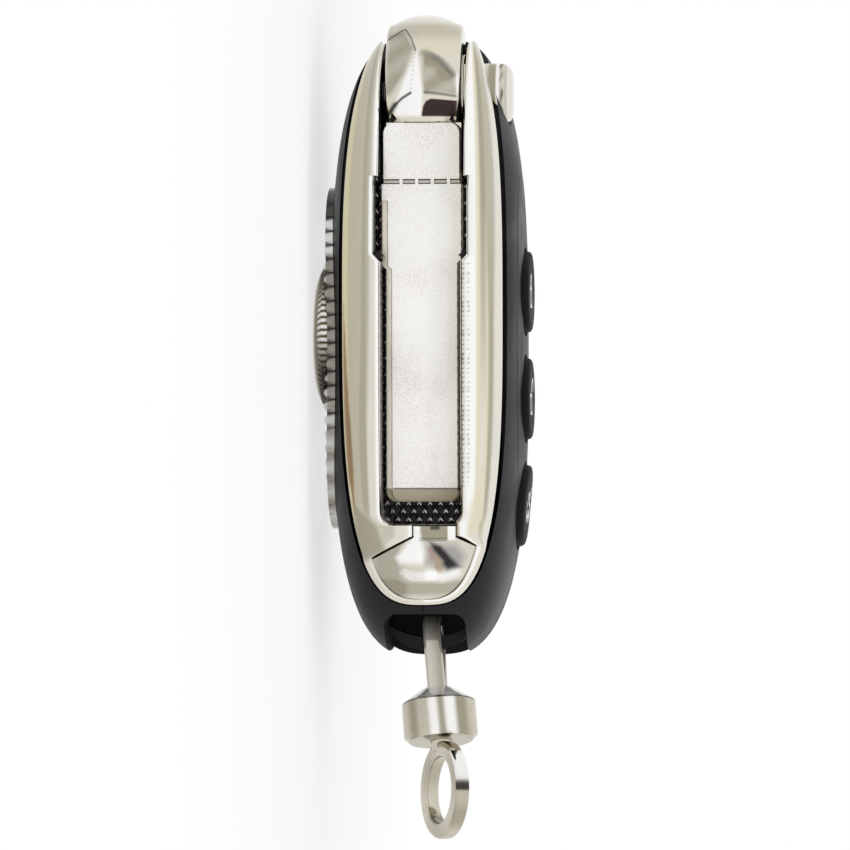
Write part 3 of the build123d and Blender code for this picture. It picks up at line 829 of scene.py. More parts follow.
@dataclass
class SideFrame:
    """The bright oval frame round the slot, its tail cap and the dark knurled liner."""

    middle_x: float = -3.5
    half_length: float = 34.6
    half_width: float = 9.8
    power: float = 3.0
    proud: float = 0.35
    thickness: float = 1.2
    arm_opening: float = 5.2
    arm_tip_inner_x: float = -35.55
    arm_tip_outer_x: float = -34.95
    opening_end_x: float = -19.0
    slot_start_x: float = -19.4
    slot_wide: float = 5.75
    slot_narrow: float = 4.9
    slot_step: tuple[float, float] = (-9.85, -9.0)
    slot_end_x: float = 21.7
    slot_corner: float = 1.6
    neck: tuple[float, float] = (-0.9, 4.1)
    neck_length: float = 1.4
    low_corner: tuple[float, float] = (4.3, -6.6)
    high_corner: tuple[float, float] = (3.0, 7.6)
    rim_inset: tuple[float, float] = (0.8, 1.5)
    cap_gap: float = 0.08
    cap_bulge: float = 0.8
    cap_edge: float = 0.3
    inner_round: tuple[float, float] = (0.55, 1.0)
    outer_round: float = 0.30
    rim_band: float = 1.5
    rim_slope: float = 0.20
    rim_crease: float = 0.04
    floor_y: float = -10.9
    liner_wall: float = 0.9
    knurl_pitch: tuple[float, float] = (1.25, 1.9)
    knurl_height: float = 0.13
    dot_pitch: float = 0.55
    dot_seed: int = 7

    def build(self) -> None:
        """The frame, its cap and the liner."""
        self.build_frame()
        self.build_cap()
        self.build_liner()

    def outer_z(self, x: np.ndarray) -> np.ndarray:
        """Half width of the frame's outline at each x."""
        share = np.clip(np.abs(x - self.middle_x) / self.half_length, 0, 1)
        return self.half_width * (1 - share**self.power) ** (1 / self.power)

    def rim_size(self, grow: float) -> tuple[float, float]:
        """Half length and half width of the rim that holds the cap, grown by a distance."""
        along, across = self.rim_inset
        return self.half_length - along + grow, self.half_width - across + grow

    def oval(self, turn: np.ndarray, size: tuple[float, float]) -> np.ndarray:
        """Points of |u|^n + |v|^n = 1: (cos, sin) times (|cos|^n + |sin|^n)^(-1/n) at each angle.

        Args:
            turn: angles from the tail.
            size: half length and half width.

        Returns:
            Rows of x and the distance from the middle.
        """
        c, s = np.cos(turn), np.sin(turn)
        reach = (np.abs(c) ** self.power + np.abs(s) ** self.power) ** (-1 / self.power)
        return np.stack([self.middle_x + size[0] * c * reach, size[1] * s * reach], 1)

    def flank(self, high: bool, grow: float) -> tuple[np.ndarray, np.ndarray]:
        """The cap's slanted flank, from the neck's shoulder to where it meets the rim.

        Args:
            high: the flank on the button side.
            grow: gap between cap and frame.

        Returns:
            The shoulder point and the point on the rim, as (x, distance from the middle).
        """
        corner = self.high_corner if high else self.low_corner
        neck = abs(self.neck[1] if high else self.neck[0])
        start = np.array([self.slot_end_x - grow + self.neck_length, neck + grow])
        end = np.array([self.slot_end_x - grow + corner[0], abs(corner[1]) + grow])
        share = np.linspace(0, 1.4, 60)[:, None]
        line = start + share * (end - start)
        rim_length, rim_width = self.rim_size(grow)
        level = ((line[:, 0] - self.middle_x) / rim_length) ** self.power
        level = level + (line[:, 1] / rim_width) ** self.power
        meet = float(np.interp(1.0, level, share[:, 0]))
        return start, start + meet * (end - start)

    def half_edges(self, high: bool) -> np.ndarray:
        """Matching inner and outer edges of one half of the frame, from the arm's tip to the tail.

        The inner edge runs along the arm, out to the wide slot, in to the narrow one, round its
        corner, down the cap's neck and flank, and along the rim to the tail.

        Args:
            high: the half on the button side.

        Returns:
            Rows of an inner and an outer point, each as (x, distance from the middle).
        """
        opening, wide, narrow = self.arm_opening, self.slot_wide, self.slot_narrow
        begin, (step_a, step_b), corner = self.opening_end_x, self.slot_step, self.slot_corner
        beyond, back = begin + 0.02, 0.3
        strip = Strip(self.outer_z)
        strip.straight([(self.arm_tip_inner_x, opening), (begin, opening)],
                       (self.arm_tip_outer_x, begin - back), np.linspace(0, 1, 60)[:-1] ** 3)
        strip.straight([(begin, opening), (beyond, wide)], (begin - back, begin + back), evenly(3))
        strip.straight([(beyond, wide), (step_a, wide)], (begin + back, step_a), evenly(56))
        strip.straight([(step_a, wide), (step_b, narrow)], (step_a, step_b), evenly(5))
        bend_x = self.slot_end_x - corner
        strip.straight([(step_b, narrow), (bend_x, narrow)], (step_b, bend_x), evenly(168))
        shoulder, meet = self.flank(high, self.cap_gap)
        last = math.pi / 2
        if high:
            last = math.acos(min(1.0, (shoulder[1] - narrow + corner) / corner))
        swing = evenly(10) * last
        bend = np.stack([bend_x + corner * np.sin(swing), narrow - corner * (1 - np.cos(swing))], 1)
        out_x = bend_x + corner
        strip.match(bend, bend_x + corner * evenly(10))
        end = (bend_x + corner * math.sin(last), narrow - corner * (1 - math.cos(last)))
        at_neck = (self.slot_end_x - 0.01, shoulder[1])
        strip.straight([end, at_neck], (out_x, out_x + 0.5), evenly(5))
        strip.straight([at_neck, tuple(shoulder)], (out_x + 0.5, out_x + 1.2), evenly(6))
        rim_length, rim_width = self.rim_size(self.cap_gap)
        turn = math.atan2(meet[1] / rim_width, (meet[0] - self.middle_x) / rim_length)
        whole = (self.half_length, self.half_width)
        meet_out = float(self.oval(np.array([turn]), whole)[0, 0])
        strip.straight([tuple(shoulder), tuple(meet)], (out_x + 1.2, meet_out), evenly(12))
        turns = np.linspace(turn, 0, 40)
        strip.inner.append(self.oval(turns, (rim_length, rim_width)))
        strip.outer.append(self.oval(turns, whole))
        return strip.edges()

    def build_frame(self) -> None:
        """The frame: a strip between two edges, laid on the grown envelope.

        A point is the envelope's point at its x and z, less its normal times the rounding's drop.
        Across the strip the points crowd at both roundings and at the rim band's crease.
        """
        low, high = self.half_edges(False), self.half_edges(True)
        pair = np.concatenate([low * np.array([1, -1]), high[::-1][1:]])
        width = np.linalg.norm(pair[:, 1] - pair[:, 0], axis=1)[:, None]
        quarter = 1 - np.cos(np.linspace(0, np.pi / 2, 13))
        on_high = np.clip(pair[:, 0, 1:] / 2.0 + 0.5, 0, 1) * ramp(pair[:, 0, :1], -19.5, 2.0)
        turned = self.inner_round[0] + (self.inner_round[1] - self.inner_round[0]) * on_high
        r1 = np.minimum(turned, 0.35 * width)
        r2 = np.minimum(self.outer_round, 0.25 * width)
        band = np.minimum(self.rim_band, 0.5 * width)
        crease, near = width - band, self.rim_crease
        inner_run, rim_run = np.linspace(0, 1, 22)[1:-1], np.linspace(0, 1, 7)[1:-1]
        spots = np.concatenate([
            r1 * quarter, r1 + (crease - near - r1) * inner_run, crease - near, crease + near,
            crease + near + (band - near - r2) * rim_run, width - r2 * quarter[::-1],
        ], axis=1)
        share = spots / width
        flat = pair[:, :1] + share[..., None] * (pair[:, 1:] - pair[:, :1])
        x, z = flat[..., 0], MID_Z + flat[..., 1]
        y = PEBBLE.side_y(x, z, self.proud)
        normal = PEBBLE.side_normal(x, y, z, self.proud)
        drop = edge_drop(spots, width, r1, r2) + self.rim_slope * np.clip(spots - crease, 0, None)
        front = np.stack([x, y, z], -1) - normal * drop[..., None]
        outer_foot = front[:, -1] - normal[:, -1] * (self.thickness - self.outer_round)
        inner_foot = front[:, 0] + np.array([0, 1.0, 0])
        sections = np.concatenate([front, outer_foot[:, None], inner_foot[:, None]], 1)
        points, faces = carried(sections)
        masks = for_points(self.frame_reflection_paint(pair, share, x, z - MID_Z), 2)
        make_piece("side_frame", points, faces, CHROME, "case", ("chrome_frame",), 38.0, masks)

    def frame_reflection_paint(
        self, pair: np.ndarray, share: np.ndarray, x: np.ndarray, z: np.ndarray
    ) -> Masks:
        """Masks that paint the arms' reflections as streaks along them.

        Beside the head the strip's edge steps in and out, so there the way across goes by the
        distance from the middle.

        Args:
            pair: inner and outer edge at each station.
            share: way across the strip, 0 at the slot and 1 at the rim.
            x: place along the body.
            z: distance from the middle.

        Returns:
            Values on the strip's grid, for each wash.
        """
        along = pair[:, 1, :1] + 0 * share
        near, far = np.abs(pair[:, 0, 1:]), np.abs(pair[:, 1, 1:])
        distance = near + share * (far - near)
        even = np.clip((distance - self.slot_narrow) / (far - self.slot_narrow), 0, 1)
        across = np.where(along < -8.0, even, share)
        low, high = self.low_streaks(along, across, share), self.high_streaks(along, across)
        masks = {
            name: np.where(pair[:, 0, 1:] > 0, high.get(name, 0 * x), low.get(name, 0 * x))
            for name in ("olive", "cream", "gold", "pale", "brown", "dark")
        }
        # Painted reflections fade towards the tail. A painted olive shade patch darkens the rear's
        # arm beside the cap, and a painted cream reflection lies on the buttons' arm.
        fade = np.clip((27.0 - along) / 8.0, 0.15, 1)
        hollow = patch(x, z, [(18.0, -8.2), (18.0, -6.2), (21.8, -5.0), (23.4, -3.4), (24.6, -4.0),
                              (26.0, -6.9), (24.6, -8.2)], 0.9)
        turned = patch(x, z, [(13.0, 5.9), (13.0, 7.4), (22.2, 7.2), (23.2, 4.6), (20.6, 5.4)], 0.8)
        masks["olive"] = np.maximum(masks["olive"] * fade, 0.85 * hollow)
        masks["cream"] = np.maximum(masks["cream"] * fade, 0.55 * turned)
        masks["pale"] = masks["pale"] * (1 - 0.8 * turned)
        return masks

    def low_streaks(self, along: np.ndarray, across: np.ndarray, lip: np.ndarray) -> Masks:
        """Painted reflections on the arm on the rear's side: two olive bands, a cream edge and a
        brown streak.

        Args:
            along: place along the body.
            across: way across the strip, 0 at the slot and 1 at the rim.
            lip: the same, not evened out beside the head.

        Returns:
            Values on the strip's grid, for each wash.
        """
        drift = np.interp(along, [-16.0, -2.0, 12.0], [0.28, 0.30, 0.38])
        narrow_band = 0.60 * bump_at(across - drift, 0.0, 0.04, 0.09)
        olive = 0.52 * bump_at(across, 0.54, 0.16, 0.10) + narrow_band
        cream = 0.95 * bump_at(across, 0.86, 0.12, 0.05) + 0.25 * bump_at(across, 0.54, 0.20, 0.08)
        taper = ramp(along, -4.2, 14.0) * np.clip((20.5 - along) / 5.0, 0, 1)
        centre = 0.90 - 0.09 * ramp(along, -4.2, 16.0)
        streak = ramp(0.10 * taper + 0.02 - np.abs(across - centre), 0.0, 0.03) * (taper > 0)
        core = ramp(0.06 * taper - np.abs(across - centre + 0.01), 0.0, 0.03)
        return {"olive": np.minimum(olive, 0.75), "cream": cream, "gold": 0.85 * streak,
                "brown": 0.45 * core, "pale": bump_at(lip, 0.02, 0.02, 0.05) * (1 - streak)}

    def high_streaks(self, along: np.ndarray, across: np.ndarray) -> Masks:
        """Painted reflections on the arm on the buttons' side, with two rows of the knurl's
        mirrored dots painted dark.

        Args:
            along: place along the body.
            across: way across the strip, 0 at the slot and 1 at the rim.

        Returns:
            Values on the strip's grid, for each wash.
        """
        first = np.interp(along, [-16.0, -2.0, 11.0], [0.85, 0.50, 0.0])
        second = np.interp(along, [-16.0, -2.0], [0.60, 0.80])
        half = np.interp(along, [-16.0, -2.0], [0.085, 0.030])
        olive = first * bump_at(across, 0.49, 0.035, 0.06)
        olive = olive + second * bump_at(across, 0.67, half, 0.06)
        cream = 0.45 * bump_at(across, 0.36, 0.05, 0.06) + 0.45 * bump_at(across, 0.60, 0.04, 0.05)
        pale = 0.9 * bump_at(across, 0.20, 0.10, 0.06) + 0.2 * bump_at(across, 0.88, 0.09, 0.04)
        kept = np.random.default_rng(self.dot_seed).random(across.shape) > 0.25
        dots = (np.sin(2 * np.pi * along / self.dot_pitch) > 0.1) * kept
        rows = bump_at(across, 0.035, 0.018, 0.02) + 0.8 * bump_at(across, 0.15, 0.014, 0.02)
        dots = dots * rows * (along > -9.0) * (along < 17.5)
        return {"olive": olive + 0.14 * (across > 0.76), "cream": cream, "pale": pale,
                "dark": 0.6 * dots}

    def build_cap(self) -> None:
        """The tail cap: rows across a spade, bulged by (1 - s^2) with s from edge to edge."""
        low_start, low_meet = self.flank(False, 0.0)
        high_start, high_meet = self.flank(True, 0.0)
        rim_length, rim_width = self.rim_size(0.0)
        tail_x = self.middle_x + self.half_length - self.rim_inset[0]
        start_x = self.slot_end_x + self.cap_gap
        tail = tail_x - (tail_x - low_meet[0]) * np.linspace(1, 0, 50) ** 2
        rows = np.concatenate([np.linspace(start_x, low_meet[0], 50)[:-1], tail])
        share = np.clip((rows - self.middle_x) / rim_length, 0, 1)
        rim = rim_width * (1 - share**self.power) ** (1 / self.power)
        sides = []
        for start, meet in ((low_start, low_meet), (high_start, high_meet)):
            side = np.interp(rows, [start_x, start[0], meet[0]], [start[1], start[1], meet[1]])
            sides.append(np.where(rows > meet[0], rim, np.minimum(side, rim)))
        low, high = sides
        width = (low + high)[:, None] + 1e-6
        quarter, middle = np.linspace(0, 1, 6) ** 2, np.linspace(0, 1, 90)[1:-1]
        r = np.minimum(self.cap_edge, 0.45 * width)
        spots = np.concatenate(
            [r * quarter, r + (width - 2 * r) * middle, width - r * quarter[::-1]], 1)
        z = MID_Z - low[:, None] + spots
        x = np.broadcast_to(rows[:, None], z.shape)
        y = PEBBLE.side_y(x, z, self.proud)
        normal = PEBBLE.side_normal(x, y, z, self.proud)
        swell = self.cap_bulge * (1 - (2 * spots / width - 1) ** 2)
        grow_in = ramp(x, start_x, 5.0) * np.clip((tail_x - x) / 3.0, 0, 1)
        lift = swell * grow_in - edge_drop(spots, width, self.cap_edge, self.cap_edge)
        front = np.stack([x, y, z], -1) + normal * lift[..., None]
        back = front[:, [-1, 0]] + np.array([0, self.thickness, 0])
        points, faces = carried(np.concatenate([front, back], 1))
        masks = for_points(self.cap_reflection_paint(x, z - MID_Z), 2)
        make_piece("tail_cap_dome", points, faces, CHROME, "case", ("tail_cap",), 38.0, masks)

    def cap_reflection_paint(self, x: np.ndarray, z: np.ndarray) -> Masks:
        """Masks that paint the cap's reflections: a bright painted highlight on the left side, a
        dark painted patch on the right and pale painted arcs.

        Args:
            x: place along the body.
            z: distance from the middle.

        Returns:
            Values on the cap's grid, for each wash.
        """
        glow = patch(x, z, [(23.3, -1.2), (22.9, -0.1), (25.1, 0.45), (25.9, 0.2), (26.0, -2.4),
                            (25.3, -2.9)], 0.7)
        arcs = 0.8 * stroke(x, z, [(27.2, 1.0), (27.5, 2.4), (27.0, 3.9)], 0.20, 0.75)
        for level, reach in ((27.0, 2.0), (27.35, 2.3), (27.75, 1.8)):
            bow = [(level - 0.35, -reach), (level, -1.0), (level + 0.05, 0.3), (level - 0.1, 1.6)]
            arcs = arcs + 0.55 * stroke(x, z, bow, 0.04, 0.24)
        beside = bump_at(z, -0.55, 0.35, 0.1) + bump_at(z, 3.55, 0.35, 0.1)
        beside = 0.9 * bump_at(x, 22.4, 0.8, 0.3) * beside
        neck = bump_at(x, 22.3, 0.95, 0.2) * bump_at(z, 1.55, 1.45, 0.15)
        slate = 0.70 * patch(x, z, [(23.6, 0.9), (23.9, 4.1), (25.2, 5.0), (26.2, 4.6), (26.7, 2.8),
                                    (25.9, 0.6)], 1.1)
        upper = patch(x, z, [(23.6, 1.1), (24.0, 2.3), (25.4, 3.5), (25.9, 2.7), (24.5, 1.5)], 0.50)
        lower = patch(x, z, [(25.0, 2.5), (25.3, 3.4), (26.4, 4.4), (26.65, 3.0), (26.1, 2.5)], 0.6)
        spot = 0.8 * stroke(x, z, [(21.95, 1.3), (21.95, 2.0)], 0.10, 0.25)
        lines = bump_at(x, 23.15, 0.03, 0.08) + bump_at(x, 23.4, 0.02, 0.08)
        lines = 0.5 * lines * bump_at(z, 1.4, 1.5, 0.2)
        rose = 0.9 * stroke(x, z, [(24.3, 1.1), (25.1, 1.35)], 0.14, 0.25)
        tan = stroke(x, z, [(25.4, 1.85), (26.5, 2.1)], 0.36, 0.25)
        olive = 0.55 * bump_at(z, -3.9, 1.1, 1.4) + 0.55 * bump_at(x, 28.9, 0.5, 0.7) + 0.75 * neck
        return {
            "dark": np.clip(np.maximum(upper, lower) + spot + lines, 0, 0.94),
            "brown": 0.15 * tan, "gold": 0.55 * tan, "rose": rose, "slate": slate * (1 - tan),
            "pale": glow + arcs + beside, "olive": olive + 0.2,
        }

    def ridge(self, a: np.ndarray, b: np.ndarray) -> tuple[np.ndarray, np.ndarray]:
        """Diamond ridges and the glints painted on them.

        The height is the larger of two slanted combs. The painted glints are the two lines that run
        on from each crossing towards greater b, for a third of a cell.

        Args:
            a: distances across the rows.
            b: distances along them.

        Returns:
            Heights and brightness, both from 0 to 1.
        """
        p, q = a / self.knurl_pitch[0], b / self.knurl_pitch[1]
        u, v = (p + q) % 1.0, (p - q) % 1.0
        line_u, line_v = (np.clip(1.6 - np.abs(t - 0.5) / 0.105, 0, 1) for t in (u, v))
        thin_u, thin_v = (np.clip(1.4 - np.abs(t - 0.5) / 0.085, 0, 1) for t in (u, v))
        bright = np.maximum(thin_u * (v > 0.14) * (v < 0.52), thin_v * (u > 0.48) * (u < 0.86))
        return np.maximum(line_u, line_v), bright

    def slot_edge(self) -> np.ndarray:
        """The slot's edge, from the head along the rear's side, round the tail end and back.

        Returns:
            Rows of x and the signed distance from the middle.
        """
        wide, narrow, corner = self.slot_wide, self.slot_narrow, self.slot_corner
        bend_x, (step_a, step_b) = self.slot_end_x - corner, self.slot_step
        swing = np.linspace(0, np.pi / 2, 14)
        side = np.concatenate([
            np.linspace((self.slot_start_x, wide), (step_a, wide), 64, endpoint=False),
            np.linspace((step_a, wide), (step_b, narrow), 8, endpoint=False),
            np.linspace((step_b, narrow), (bend_x, narrow), 190, endpoint=False),
            np.stack([bend_x + corner * np.sin(swing), narrow - corner * (1 - np.cos(swing))], 1),
            np.linspace((self.slot_end_x, narrow - corner), (self.slot_end_x, 0), 24)[1:],
        ])
        return np.concatenate([side * np.array([1, -1]), side[::-1][1:]])

    def build_liner(self) -> None:
        """The slot's liner: from a middle line over the floor, up the wall and down outside it.

        A floor point is middle + v (edge - middle). A wall point is the edge at a height. The
        ridges lift the floor towards -Y and the wall inwards.
        """
        edge = self.slot_edge()
        step = np.gradient(edge, axis=0)
        out = np.stack([-step[:, 1], step[:, 0]], 1)
        out = out / np.linalg.norm(out, axis=1, keepdims=True)
        out = out * np.sign(np.sum(out * edge, axis=1, keepdims=True) + 1e-9)
        steps = np.linalg.norm(np.diff(edge, axis=0), axis=1)
        length = np.concatenate([[0], np.cumsum(steps)])
        last_x = self.slot_end_x - self.slot_corner - 3.0
        middle_x = np.clip(edge[:, 0], self.slot_start_x, last_x)
        middle = np.stack([middle_x, 0 * middle_x], 1)
        v = np.linspace(0, 1, 60)[None, :, None]
        flat = middle[:, None] + v * (edge - middle)[:, None]
        floor_ridge, floor_lit = self.ridge(flat[..., 1], flat[..., 0])
        floor_y = self.floor_y - self.knurl_height * floor_ridge
        floor = np.stack([flat[..., 0], floor_y, MID_Z + flat[..., 1]], -1)
        top = PEBBLE.side_y(edge[:, 0], MID_Z + edge[:, 1], -self.thickness - 0.03)[:, None]
        rise = np.linspace(0.02, 1, 44)[None, :]
        wall_y = self.floor_y + rise * (top - self.floor_y)
        wall_ridge, wall_lit = self.ridge(length[:, None] + 0 * wall_y, wall_y)
        fade = np.clip((1 - rise) * 12, 0, 1)
        inward = (self.knurl_height * wall_ridge * fade)[..., None]
        wall_flat = edge[:, None] - out[:, None] * inward
        wall = np.stack([wall_flat[..., 0], wall_y, MID_Z + wall_flat[..., 1]], -1)
        outside = edge + out * self.liner_wall
        foot = np.full(len(edge), self.floor_y + self.liner_wall)
        outer_top = np.stack([outside[:, 0], top[:, 0] + 0.3, MID_Z + outside[:, 1]], -1)
        outer_low = np.stack([outside[:, 0], foot, MID_Z + outside[:, 1]], -1)
        inner_low = np.stack([middle_x, foot, MID_Z + 0 * middle_x], -1)
        back = np.stack([outer_top, outer_low, inner_low], 1)
        points, faces = carried(np.concatenate([floor, wall, back], 1))
        # The ridges' painted glints change in strength along the floor, and on the wall they lie on
        # the ridges' tops.
        glint_strength = 0.75 + 0.25 * np.sin(3.1 * flat[..., 0] + 5.3 * flat[..., 1])
        wall_lit = 0.9 * np.maximum(wall_lit, wall_ridge**3) * fade
        masks = for_points({"ridge": np.concatenate([floor_lit * glint_strength, wall_lit], 1)}, 3)
        make_piece("knurled_liner_tray", points, faces, LINER, "case", ("blade_tray",), 60.0, masks)


@dataclass
class PivotHead:
    """The crowned barrel, the folded blade and the release button on the barrel's axis."""

    pivot: tuple[float, float] = (-29.0, -5.4)
    radius: float = 9.4
    half_height: float = 4.4
    crown: float = 1.5
    rim_round: float = 0.7
    cavity_radius: float = 5.0
    cavity_floor: float = -2.6
    axle_radius: float = 1.65
    seat: tuple[float, float] = (3.65, -5.75)
    root_x: tuple[float, float] = (-25.3, -18.7)
    groove_width: float = 0.6
    groove_depth: float = 0.4
    upper_end_x: float = -9.3
    stagger: float = 0.7
    narrowing: float = 0.45
    tip_x: float = 19.0
    blade_y: tuple[float, float] = (-13.8, -11.2)
    root_half: float = 4.62
    upper_half: float = 4.8
    lower_half: float = 4.33
    root_corner: float = 1.3
    tip_corner: float = 1.2
    tip_bevel: tuple[float, float] = (1.6, 1.0)
    rebate: tuple[float, float, float] = (-16.2, 0.75, 0.5)
    edge_bevel: float = 0.3
    edge_round: float = 0.14
    dash_gaps: tuple[float, ...] = (-4.15, -2.48, -0.65, 1.18, 3.07, 4.7)
    dash_bridge: float = 0.36
    release_radius: float = 3.65
    release_top: float = 10.3
    release_dome: float = 1.6
    release_flange: float = 4.7

    def build(self) -> None:
        """The barrel, the blade and the release button."""
        self.build_barrel()
        self.build_blade()
        self.build_release()

    def build_barrel(self) -> None:
        """The barrel: a closed section turned about the pivot, cut by the blade's square seat.

        At each angle the radius is the smaller of the section's and the ray's way to the seat,
        max(seat_x / cos, seat_y / sin) in the quarter that the seat takes.
        """
        h, round_by, hole = self.half_height, self.rim_round, self.cavity_radius
        rise = np.linspace(-h + round_by, h - round_by, 71)
        side = np.stack([self.radius - self.crown * (rise / h) ** 2, rise], 1)
        fillet = np.linspace(0, np.pi / 2, 7)[1:]
        shoulder = side[-1, 0] - round_by * (1 - np.cos(fillet))
        upper = np.stack([shoulder, h - round_by * (1 - np.sin(fillet))], 1)
        lower, floor, axle = upper[::-1] * np.array([1, -1]), self.cavity_floor, self.axle_radius
        hollow = np.array([(hole, h), (hole, floor), (axle, floor), (axle, -h)])
        profile = np.concatenate([lower, side, upper, hollow])
        seat_x, seat_y = self.seat
        corner = math.atan2(seat_y, seat_x)
        turn = np.unique(np.concatenate([
            np.linspace(-np.pi, np.pi, 240, endpoint=False), [corner],
            corner + np.linspace(-0.5, 0.5, 60), np.linspace(-3.0, -1.2, 160)]))[:, None]
        cosine, sine = np.cos(turn), np.sin(turn)
        in_seat = (cosine > 0) & (sine < 0)
        along, across = np.where(in_seat, cosine, 1), np.where(in_seat, sine, -1)
        reach = np.maximum(seat_x / along, seat_y / across)
        limit = np.maximum(np.where(in_seat, reach, 1e3), hole + 0.3)
        whole = profile[:, 0][None, :]
        radius = np.where(whole > hole + 0.01, np.minimum(whole, limit), whole)
        x, y = self.pivot[0] + radius * cosine, self.pivot[1] + radius * sine
        z = profile[:, 1][None, :] + 0 * turn
        points, faces = carried(np.stack([x, y, MID_Z + z], -1), loop=True)
        masks = for_points(self.barrel_reflection_paint(x, y, z))
        make_piece("pivot_barrel", points, faces, CHROME, "blade", ("flip_head",), 38.0, masks)

    def barrel_reflection_paint(self, x: np.ndarray, y: np.ndarray, z: np.ndarray) -> Masks:
        """Masks that paint the barrel's reflections: a painted highlight down the middle, darker
        painted flanks and dark painted curves.

        Args:
            x: place along the body.
            y: place towards the viewer of the slot side, where only the outer front is marked.
            z: distance from the middle of the barrel.

        Returns:
            Values on the barrel's grid, for each wash.
        """
        outer = np.hypot(x - self.pivot[0], y - self.pivot[1]) > self.cavity_radius + 1.0
        front = outer & (y < self.pivot[1] + 4)
        shine = patch(x, z, [(-33.8, -0.62), (-31.1, -1.7), (-27.2, -3.3), (-26.0, -3.3),
                             (-26.0, -0.05), (-28.9, 0.05), (-31.1, -0.2)], 0.45)
        rim_light = 0.9 * stroke(x, z, [(-31.0, 4.1), (-26.0, 4.25)], 0.06, 0.12)
        roof = stroke(x, z, [(-35.1, -4.2), (-36.2, -2.6), (-36.35, -2.1), (-35.2, -1.35),
                             (-33.7, -0.75)], 0.035, 0.10)
        arc = stroke(x, z, [(-33.45, 0.1), (-33.2, 0.9), (-32.7, 1.9), (-31.8, 2.9), (-30.9, 3.7)],
                     0.16, 0.40)
        arc = arc * (0.6 + 0.55 * bump_at(z, 1.9, 0.5, 1.8))
        soft_olive_reflection = stroke(x, z, [(-33.0, 0.6), (-32.0, 1.9), (-31.0, 2.9)], 0.2, 0.9)
        corner = [(-26.0, -4.2), (-27.3, -3.2), (-28.1, -2.3), (-28.7, -1.3)]
        lower = stroke(x, z, corner, 0.07, 0.16) + 0.8 * stroke(x, z, corner[:2], 0.10, 0.45)
        shade = patch(x, z, [(-28.0, 1.1), (-27.75, 0.55), (-27.2, 0.2), (-26.3, 0.02),
                             (-26.0, 0.0), (-26.0, 4.05), (-27.8, 4.05)], 0.14)
        above = stroke(x, z, [(-28.75, 0.4), (-28.6, 2.0), (-28.35, 3.9)], 0.06, 0.18)
        dots = stroke(x, z, [(-33.4, -0.85), (-29.0, -1.25)], 0.02, 0.08) * (np.sin(12.0 * x) > 0.0)
        left = patch(x, z, [(-35.6, -4.1), (-36.2, -2.4), (-34.0, -1.0), (-31.0, -2.1),
                            (-28.4, -3.7), (-28.4, -4.3)], 0.5)
        right = patch(x, z, [(-33.0, 0.3), (-32.3, 2.0), (-30.8, 3.8), (-28.6, 4.0), (-28.6, 0.3),
                             (-31.0, 0.0)], 0.5)
        ripple = 0.5 + 0.5 * np.sin(1.9 * x + 1.3 * z)
        olive = (0.50 + 0.25 * ripple) * left + (0.45 + 0.35 * ripple) * right + 0.45 * soft_olive_reflection
        olive = olive + 0.40 * bump_at(x, -36.6, 0.7, 1.2) + 0.12
        dark = 0.80 * roof + 0.50 * arc + 0.92 * lower + 0.6 * above + 0.40 * dots
        masks = {
            "pale": shine + 0.35 * bump_at(x, -37.9, 0.5, 0.6) + rim_light,
            "olive": olive * (1 - 0.9 * shade), "dark": np.clip(dark, 0, 0.94) + 0.88 * shade,
            "cream": 0.35 * bump_at(z, 2.2, 2.4, 1.2) * bump_at(x, -35.2, 1.6, 0.8),
            "brown": 0.9 * shade,
        }
        return {name: np.clip(mask, 0, 1) * front for name, mask in masks.items()}

    def blade_stations(self) -> np.ndarray:
        """Places along the blade where its section is worked out, close together at each feature.

        Returns:
            X of each station, in rising order.
        """
        root, root_end = self.root_x
        groove_end = root_end + self.groove_width
        bevel_x = self.tip_x - self.tip_bevel[0]
        round_corner = np.sin(np.linspace(0, np.pi / 2, 10))
        parts = [
            root + self.root_corner * (1 - np.cos(np.linspace(0, np.pi / 2, 10))),
            np.linspace(root + self.root_corner, root_end - 0.06, 6),
            np.array([0.0, 0.03, 0.14, 0.17]) + root_end,
            np.array([-0.17, -0.14, -0.03, 0.0]) + groove_end,
            np.linspace(groove_end + 0.06, self.rebate[0] - 0.05, 5),
            np.array([self.rebate[0], self.rebate[0] + 0.05]),
            np.linspace(self.rebate[0] + 0.3, self.upper_end_x - 0.15, 8),
            self.upper_end_x + np.array([-0.05, 0.0, 0.2, 0.45]),
            self.upper_end_x + self.stagger + np.array([0.0, 0.2, 0.45, 0.8]),
            np.linspace(self.upper_end_x + 2.0, bevel_x - 0.1, 14),
            bevel_x + np.array([-0.06, -0.03, 0.0, 0.03, 0.06]),
            self.tip_x - self.tip_corner * (1 - round_corner),
        ]
        return np.unique(np.concatenate(parts))

    def blade_halves(self, x: np.ndarray) -> tuple[np.ndarray, np.ndarray]:
        """Half widths of the blade: stepped in where the upper part ends, and rounded at both ends.

        Args:
            x: stations along the blade.

        Returns:
            The reach towards the rear and towards the buttons at each station.
        """
        root, root_end = self.root_x
        in_root = x < root_end + self.groove_width - 0.001
        base = np.where(in_root, self.root_half, self.upper_half)
        shrink = quarter_drop(x - root, self.root_corner)
        shrink = shrink + quarter_drop(self.tip_x - x, self.tip_corner)
        step = self.upper_half - self.lower_half
        ends = (self.upper_end_x + self.stagger, self.upper_end_x)
        low, high = (base - step * ramp(x, end, self.narrowing) - shrink for end in ends)
        return low, high

